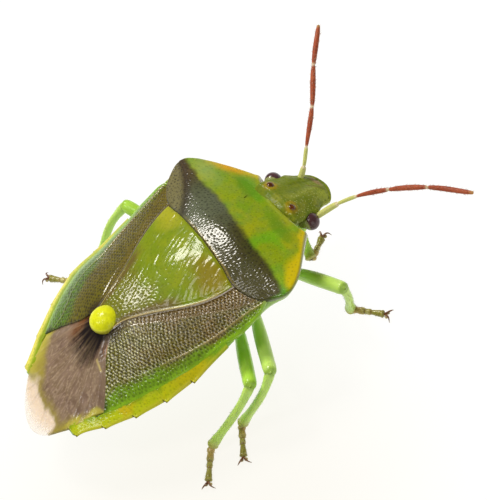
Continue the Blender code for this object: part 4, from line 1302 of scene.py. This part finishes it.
def make_strip(side_name, sign):
    """The side strip of the abdomen that shows beside the wing."""
    front_y = SEGMENT_CORNERS_Y[0] + 0.25
    rear_y = SEGMENT_CORNERS_Y[-1] - STRIP_OVERHANG
    tooth_size = TOOTH_SIZES[side_name]

    def inner_x(y):
        return margin_reach(y) - strip_width(y) - 0.22 + 0.1 * ease(y, -3.0, -2.2)

    def end(end_y, tooth_y):
        start = inner_x(end_y)
        reach = toothed_reach(tooth_y, tooth_size)
        return lambda s: (start + (reach - start) * s, np.full(np.shape(s), end_y))

    x, y = sheet_places(
        end(front_y, front_y), end(rear_y, rear_y + STRIP_OVERHANG),
        lengthwise(front_y, rear_y, inner_x),
        lengthwise(front_y, rear_y, lambda y: toothed_reach(y, tooth_size)), *grid("strip"),
    )
    x = sign * x
    to_outer = edge_distances(x, y)[3]
    on_right = float(sign > 0)
    on_left = 1 - on_right

    # Relief
    joint = np.zeros(x.shape)
    tooth = np.zeros(x.shape)
    for corner in SEGMENT_CORNERS_Y[1:]:
        slant = corner + 0.1 * (1 - np.clip(to_outer / 0.4, 0, 1)) - 0.02
        joint = np.maximum(joint, ridge(y - slant, 0.025))
        tooth = np.maximum(tooth, ease(np.hypot(to_outer, (y - corner) * 1.2), 0.075, 0.02))
    hollow = pits(to_outer, y, "strip") * ease(to_outer, 0.05, 0.1)
    lift = -0.05 - 0.006 * joint - 0.006 * hollow + 0.006 * grain(x / 0.2, y / 0.3, 62)
    lift -= 0.12 * ease(to_outer, 0.4, 0.52)
    top = stacked(x, y, back_height(x, y) + lift - rolled(to_outer, EDGE_RADII["strip"]))
    under_x = x - sign * 0.2 * ease(to_outer, 0.35, 0.0)
    under = stacked(under_x, y, belly_height(under_x, y) - 0.01)

    # Colours
    waved = to_outer + 0.06 * grain(y / 0.3, 0.0, 63) + 0.14 * on_left
    masks = {
        "front_orange": ease(y, -4.6, -3.6) * on_right,
        "front_green": ease(y, -3.1, -2.5),
        "inner_green": ease(waved, 0.24, 0.45),
        "outer_edge": ease(to_outer, 0.12, 0.03),
        "left_pale": on_left * ease(to_outer, 0.34, 0.06) * (0.35 + 0.65 * ease(y, -4.0, -5.2)),
        "joint": joint,
        "tooth": tooth,
        "pit": hollow,
    }
    name = "side_strip_" + side_name
    shell(name + "_skin", top, under, masks, "strip_cuticle", [name])


def make_belly():
    """The whole underside, from the chest to the tail, with its segment grooves."""
    def reach(y):
        return margin_reach(y) * 0.94

    side = lengthwise(BELLY_FRONT_Y, BELLY_REAR_Y, reach)
    front = straight(reach(BELLY_FRONT_Y), BELLY_FRONT_Y)
    rear = straight(reach(BELLY_REAR_Y), BELLY_REAR_Y)
    x, y = sheet_places(front, rear, mirrored(side), side, *grid("belly"))
    joint = np.zeros(x.shape)
    for corner in CHEST_JOINTS_Y + SEGMENT_CORNERS_Y:
        bow = corner - 0.12 * across_share(x, y) ** 2
        joint = np.maximum(joint, ridge(y - bow, 0.035))
    hollow = pits(x, y, "belly")
    edge = np.min(edge_distances(x, y), axis=0)
    depth = -0.02 + 0.045 * joint + 0.014 * hollow + 0.012 * grain(x / 0.5, y / 0.3, 72)
    low = stacked(x, y, belly_height(x, y) + depth + rolled(edge, EDGE_RADII["belly"]))
    high = stacked(x, y, back_height(x, y) - 0.15)
    masks = {"joint": joint, "pit": hollow}
    shell("underside_skin", low, high, masks, "underside_cuticle", ["thorax", "abdomen"])


# Head

head_turn = (
    Matrix.Rotation(-HEAD_PITCH, 4, "X") @ Matrix.Rotation(HEAD_YAW, 4, "Z")
    @ Matrix.Rotation(HEAD_ROLL, 4, "Y")
)


def from_head(places):
    """Places in the head's frame, moved into the bug's frame."""
    return np.asarray(places) @ np.array(head_turn.to_3x3()).T + np.array(HEAD_AT)


def head_share(x, y):
    """How far out a place lies, from 0 at the head's midline to 1 at its edge."""
    return np.minimum(np.abs(x) / head_reach(y), 1)


def head_top(x, y):
    droop = HEAD_DROOP * np.maximum(y / HEAD_TIP, 0) ** 3
    nape = NAPE_DROP * ease(y, 0.02, -0.34)
    return HEAD_CROWN * (0.65 - head_share(x, y) ** 2) - droop - nape


def head_bottom(x, y):
    return -HEAD_EDGE - (head_depth(y) - HEAD_EDGE) * (1 - head_share(x, y) ** 2.4)


def make_head():
    """The head with its grooves and the rings that the ocelli sit in."""
    end_y, end_x = HEAD_REACH[-1]
    side = lengthwise(HEAD_BACK, end_y, head_reach)
    front = straight(HEAD_REACH[0][1], HEAD_BACK)
    rear = rounded(end_x, end_y, HEAD_TIP - end_y)
    s = 0.5 - 0.5 * np.cos(np.pi * np.linspace(0, 1, HEAD_COLUMNS))
    x, y = sheet_places(front, rear, mirrored(side), side, s, shares(*HEAD_ROWS))
    rim = np.min(edge_distances(x, y)[1:], axis=0)
    inner = ease(rim, 0.05, 0.13)

    # Relief
    grooves = np.zeros(x.shape)
    for way, depth in ((-1, 1.0), (1, 0.4)):
        grooves = np.maximum(grooves, depth * ridge(line_distance(HEAD_GROOVE, way * x, y), 0.035))
    grooves = grooves * ease(y, 0.5, 0.8)
    socket = np.zeros(x.shape)
    ring = np.zeros(x.shape)
    for dot_x, dot_y in OCELLI.values():
        away = np.hypot(x - dot_x, y - dot_y)
        ring = np.maximum(ring, ridge(away - 0.15, 0.06))
        socket = np.maximum(socket, ridge(away, 0.2))
    warp = 0.05 * grain(x / 0.3, y / 0.3, 81)
    hollow = pits(x + warp, y + warp, "head") * inner
    wrinkle = grain(x / 0.3 + 5, y / 0.09 + warp * 10, 83) * inner
    lift = 0.003 * wrinkle - 0.009 * hollow - 0.01 * grooves + 0.03 * socket
    lift += 0.03 * ridge(x - 0.3, 0.25) - 0.05 * spot(x, y, -0.16, 1.0, 0.2, 0.8)
    lift += 0.01 * ridge(rim - 0.05, 0.05) - 0.015 * ridge(rim - 0.16, 0.06) * ease(y, 0.9, 1.2)
    lift -= rolled(rim, EDGE_RADII["head"])
    top = from_head(stacked(x, y, head_top(x, y) + lift))
    under = from_head(stacked(x * 0.93, y - 0.03 * ease(y, 1.2, 1.9), head_bottom(x, y)))

    # Colours
    # Painted glints: pale specks laid as colour only, on the right half of the head
    speck = ease(pits(y + 0.05, x + 0.05, "head_glint_specks"), 0.2, 0.8)
    masks = {
        # Painted shade: darker colour laid along the head's grooves
        "groove": grooves,
        "gold_ring": ring,
        "pit": hollow,
        "rim": ridge(rim - 0.04, 0.05) * ease(y, 0.7, 1.1),
        "pale_ridge": ridge(x - 0.05, 0.22) * ease(y, 1.5, 0.9) * ease(y, 0.1, 0.4),
        "pinkish": ease(oval(x, y, -0.12, 1.66, 0.26, 0.12), 1.3, 0.4),
        "pale_lobe": spot(x, y, 0.42, 1.5, 0.24, 0.3),
        "brown_line": ridge(line_distance(HEAD_BROWN_LINE, x, y), 0.04),
        # Painted shade: a darker band along the shallow hollow left of the head's midline
        "dark_left": ridge(x + 0.06, 0.14) * ease(y, 0.2, 0.5) * ease(y, 1.3, 1.0),
        "speck": speck * ease(x, -0.1, 0.15) * ease(y, 1.6, 1.2),
    }
    shell("head_skin", top, under, masks, "head_cuticle", ["head"])


def facets(ways):
    """Relief of an eye: rows of tiny round bumps."""
    across = np.arctan2(ways[..., 0], ways[..., 2]) * 0.3
    return 0.012 * pits(across + 2, ways[..., 1] * 0.3 + 2, "facets")


def make_eye(side_name, sign):
    """An eye, the stalk under it, and the ocellus on that side of the head."""
    eye = np.array(EYES[side_name])
    places, faces, ways = ball_parts(
        from_head(eye), EYE_RADII, rings=96, sides=120, turn=head_turn, relief=facets,
    )
    masks = {"pale_rim": ease(ways @ np.array(PALE_EYE_WAYS[side_name]), 0.48, 0.64)}
    name = "eye_" + side_name
    make_mesh(name + "_skin", places, faces, masks, "eye_surface", [name])

    root = from_head(eye - (sign * 0.12, 0.14, 0.05))
    places, faces = ball_parts(root, STALK_RADII, rings=32, sides=48, turn=head_turn)[:2]
    make_mesh("eye_stalk_" + side_name, places, faces, {}, "head_cuticle", paint="stalk_cuticle")

    dot = from_head((*OCELLI[side_name], head_top(*OCELLI[side_name])))
    places, faces, ways = ball_parts(dot, OCELLUS_RADII, rings=24, sides=36, turn=head_turn)
    masks = {"rim": ease(ways[:, 2], 0.5, 0.2)}
    make_mesh("ocellus_" + side_name, places, faces, masks, "head_cuticle", paint="ocellus_surface")


# Feelers, beak and legs

def hairs_on(points, radii, count, length, lean, seed):
    """Fine hairs set in the surface of a round limb, leaning towards its tip."""
    draw = np.random.default_rng(seed)
    points = np.asarray(points, float)
    aside, up = ring_frames(points)
    ways = np.gradient(points, axis=0)
    ways /= np.linalg.norm(ways, axis=1)[:, None]
    hairs = []
    for _ in range(count):
        k = int(draw.integers(1, len(points) - 1))
        turn = draw.uniform(0, 2 * math.pi)
        out = aside[k] * math.cos(turn) + up[k] * math.sin(turn)
        root = points[k] + out * radii[k] * 0.93
        tip = root + (out + ways[k] * lean) * length * draw.uniform(0.7, 1.2)
        across = np.cross(out, ways[k])
        foot = [root + across * wide + ways[k] * long for wide, long in HAIR_FOOT]
        places = np.array([*foot, tip])
        hairs.append((places, turned_out(places.tolist(), HAIR_FACES)))
    return hairs


def make_hairy(node, tube, masks, hairs, slot):
    """A limb's tube and its hairs as one mesh; masks hold one value for each ring of the tube."""
    places, faces = tube
    spread = {key: np.repeat(values, len(places) // len(values)) for key, values in masks.items()}
    parts = [(places, faces, {**spread, "hair": np.zeros(len(places))})]
    for places, faces in hairs:
        blank = {key: np.zeros(len(places)) for key in masks}
        parts.append((places, faces, {**blank, "hair": np.ones(len(places))}))
    make_mesh(node + "_skin", *merged(parts), slot, [node])


def make_feeler(side_name):
    """A feeler of five segments with narrow pale joints."""
    joints = FEELER_JOINTS[side_name]
    lengths = np.cumsum([0.0] + [math.dist(a, b) for a, b in zip(joints, joints[1:])])
    share = np.linspace(0, 1, FEELER_RINGS)
    along = share * lengths[-1]
    points = np.stack(route(joints)(share), -1)
    radii = np.zeros(share.shape)
    for k, (slim, thick, bulge) in enumerate(FEELER_WIDTHS):
        part = np.clip((along - lengths[k]) / (lengths[k + 1] - lengths[k]), 0, 1)
        swell = np.sin(math.pi * part ** bulge) ** 0.4
        here = (along >= lengths[k]) & (along <= lengths[k + 1])
        radii = np.where(here, slim + (thick - slim) * swell, radii)
    radii[-1] = 0.012
    around = np.linspace(0, 1, FEELER_SIDES, endpoint=False)
    rough = 1 + 0.03 * grain(share[:, None] * 160, around * 14, 101)
    knuckle = np.zeros(share.shape)
    for length in lengths[1:-1]:
        knuckle = np.maximum(knuckle, ridge(along - length, 0.045))
    masks = {
        "knuckle": knuckle,
        "root": ease(along, lengths[2] + 0.05, lengths[2] - 0.03),
        "tip": ease(along, lengths[-1] - 0.18, lengths[-1] - 0.02),
    }
    tube = tube_parts(points, radii[:, None] * rough, FEELER_SIDES)
    hairy = slice(FIRST_HAIRY_RING, None)
    hairs = hairs_on(points[hairy], radii[hairy], count=260, length=0.06, lean=0.9, seed=102)
    make_hairy("antenna_" + side_name, tube, masks, hairs, "antenna_surface")


def make_beak():
    """The jointed beak, folded back under the head and chest."""
    share = np.linspace(0, 1, 97)
    points = np.stack(route(BEAK_PATH)(share), -1)
    radii = 0.16 * (1 - 0.5 * share ** 2)
    for joint in (0.28, 0.55, 0.8):
        radii = radii * (1 - 0.18 * ridge(share - joint, 0.012))
    radii[0] = 0.04
    radii[-1] = 0.02
    places, faces = tube_parts(points, radii, BEAK_SIDES)
    masks = {"foot_end": np.repeat(ease(share, 0.9, 1.0), BEAK_SIDES)}
    make_mesh("beak_skin", places, faces, masks, "leg_cuticle", ["beak"])


def lowered(point, height):
    """A point moved along the camera's line of sight to another height."""
    way = np.array(TOWARDS_CAMERA)
    return point + way * (height - point[2]) / way[2]


def make_limb(node, points, size, masks, hair_count, seed, slot="leg_cuticle", lobes=None):
    """One leg segment with fine hairs."""
    radii = size(np.linspace(0, 1, len(points)))
    tube = tube_parts(points, radii, LIMB_SIDES, lobes)
    hairs = hairs_on(points, radii, hair_count, length=0.055, lean=1.1, seed=seed)
    make_hairy(node, tube, masks, hairs, slot)


def make_claws(leg_name, toe, way):
    """Two hooked claws, each with a pad at its root."""
    parts = []
    t = np.linspace(0, 1, 25)[:, None]
    for sign in (-1, 1):
        aim = np.array(Matrix.Rotation(sign * CLAW_SPREAD, 3, "Z") @ Vector(way))
        drop = np.array((0, 0, 1.0)) * CLAW_BOW * (np.sin(np.pi * t) - t ** 2)
        hook = toe + aim * CLAW_LENGTH * t + way * CLAW_BOW * np.sin(np.pi * t) + drop
        size = CLAW_RADIUS * (1 - 0.8 * t[:, 0] ** 1.5)
        places, faces = tube_parts(hook, size, 12)
        parts.append((places, faces, {"pad": np.zeros(len(places))}))
        pad_at = toe + aim * 0.09 + way * 0.02 - (0, 0, 0.02)
        places, faces = ball_parts(pad_at, PAD_RADII, rings=12, sides=16)[:2]
        parts.append((places, faces, {"pad": np.ones(len(places))}))
    make_mesh(leg_name + "_claws", *merged(parts), "foot_cuticle", paint="claw_horn")


def make_leg(leg_name, number):
    """Thigh, shin and foot of one leg, with its claws."""
    hip, knee, bend, ankle, toe = (np.array(point) for point in LEG_JOINTS[leg_name])
    ankle = lowered(ankle, FOOT_HEIGHT + ANKLE_RISE)
    toe = lowered(toe, FOOT_HEIGHT)
    share = np.linspace(0, 1, LIMB_RINGS)
    column = share[:, None]
    sag = np.array((0, 0, 0.06)) * np.sin(np.pi * column)
    masks = {
        "knee": ease(share, 0.955, 0.985), "foot_end": share * 0,
        # Painted light: the thighs in LIT_THIGHS are made paler, as if lit more brightly
        "pale": share * 0 + (leg_name in LIT_THIGHS),
    }
    thigh = hip + (knee - hip) * column + sag
    make_limb(leg_name + "_femur", thigh, femur_size, masks, hair_count=50, seed=110 + number)

    inside = knee + 0.12 * (hip - knee) / np.linalg.norm(hip - knee)
    shin = np.stack(route([inside, bend, ankle])(share), -1)
    masks = {
        "knee": ease(share, 0.06, 0.0), "foot_end": ease(share, 0.82, 1.0),
        "pale": share * 0 + 1,
    }
    make_limb(
        leg_name + "_tibia", shin, tibia_size, masks, hair_count=120, seed=120 + number,
        lobes=lambda turn: 1 + 0.06 * np.cos(3 * turn),
    )

    foot = ankle + (toe - ankle) * column
    masks = {
        "knee": ridge(share - 0.44, 0.025) + ridge(share - 0.62, 0.025),
        "first": ease(share, 0.42, 0.3),
        "foot_end": ease(share, 0.5, 0.8),
    }
    make_limb(
        leg_name + "_tarsus", foot, tarsus_size, masks, hair_count=70, seed=130 + number,
        slot="foot_cuticle",
    )
    make_claws(leg_name, toe, (toe - ankle) / np.linalg.norm(toe - ankle))


# Build the bug

low_box, high_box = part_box("scutellum")
tail_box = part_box("membrane_left")[0]
shift = np.array(((low_box.x + high_box.x) / 2, tail_box.y - WING_TIP_Y * MM, 0.0))

make_pronotum()
make_scutellum()
make_knob()
make_belly()
make_head()
for side_name, sign in SIDES:
    make_eye(side_name, sign)
make_beak()
for side_name, sign in SIDES:
    make_corium(side_name, sign)
    make_membrane(side_name, sign)
    make_strip(side_name, sign)
    make_feeler(side_name)
for number, leg_name in enumerate(LEG_JOINTS):
    make_leg(leg_name, number)


# Ground, light and camera

def to_scene(place):
    """A place in the bug's frame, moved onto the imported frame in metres."""
    return Vector(place) * MM + Vector(shift)


def make_ground():
    """A pale ground that glows a little, as on a light table, so that shadows stay faint."""
    half = GROUND_SIZE / 2 * MM
    mesh = bpy.data.meshes.new("ground")
    corners = [(-half, -half, 0), (half, -half, 0), (half, half, 0), (-half, half, 0)]
    mesh.from_pydata(corners, [], [(0, 1, 2, 3)])
    material = bpy.data.materials.new("pale_ground")
    material.use_nodes = True
    nodes = Nodes(material.node_tree)
    shader = nodes.tree.nodes["Principled BSDF"]
    away = nodes.add("ShaderNodeVectorMath", operation="DISTANCE")
    away.inputs[1].default_value = CREAM_AT
    nodes.join(nodes.add("ShaderNodeTexCoord").outputs["Object"], away.inputs[0])
    patch = nodes.ramp(away.outputs["Value"], CREAM_REACH[1] * MM, CREAM_REACH[0] * MM)
    glow = nodes.mix(patch, (0.99, 0.99, 0.98, 1), (0.92, 0.9, 0.84, 1))
    nodes.join(glow, shader.inputs["Emission Color"])
    shader.inputs["Base Color"].default_value = (0.06, 0.06, 0.06, 1)
    shader.inputs["Emission Strength"].default_value = 1.0
    shader.inputs["Roughness"].default_value = 0.9
    shader.inputs["Specular IOR Level"].default_value = 0.0
    mesh.materials.append(material)
    placed("ground", mesh)


def make_world():
    """A white sky, brighter near the horizon than overhead."""
    world = bpy.data.worlds.new("studio")
    bpy.context.scene.world = world
    world.use_nodes = True
    nodes = Nodes(world.node_tree)
    sky = nodes.tree.nodes["Background"]
    split = nodes.add("ShaderNodeSeparateXYZ")
    nodes.join(nodes.add("ShaderNodeTexCoord").outputs["Generated"], split.inputs["Vector"])
    nodes.join(nodes.ramp(split.outputs["Z"], 0.1, 0.45, SKY_STRENGTHS), sky.inputs["Strength"])
    sky.inputs["Color"].default_value = (1, 1, 1, 1)


def make_light(name, way, size, power, colour):
    """A square soft light aimed at the middle of the bug's back."""
    lamp = bpy.data.lights.new(name, "AREA")
    lamp.shape = "SQUARE"
    lamp.size = size * MM
    lamp.energy = power
    lamp.color = colour
    light = placed(name, lamp)
    way = Vector(way).normalized()
    light.location = to_scene(LIGHTS_AIM) + way * LIGHT_DISTANCE * MM
    light.rotation_euler = way.to_track_quat("Z", "Y").to_euler()


def make_camera():
    """A camera with the photo's view."""
    lens = bpy.data.cameras.new("camera")
    lens.lens = FOCAL_LENGTH
    lens.sensor_width = SENSOR
    lens.clip_start = 1 * MM
    lens.clip_end = 2.0
    camera = placed("camera", lens)
    axes = Matrix((PICTURE_RIGHT, PICTURE_UP, TOWARDS_CAMERA)).transposed()
    camera.matrix_world = Matrix.Translation(to_scene(CAMERA_AT)) @ axes.to_4x4()
    bpy.context.scene.camera = camera


make_ground()
make_world()
for name, settings in LIGHTS.items():
    make_light(name, *settings)
make_camera()
bpy.context.scene.view_settings.view_transform = "Standard"
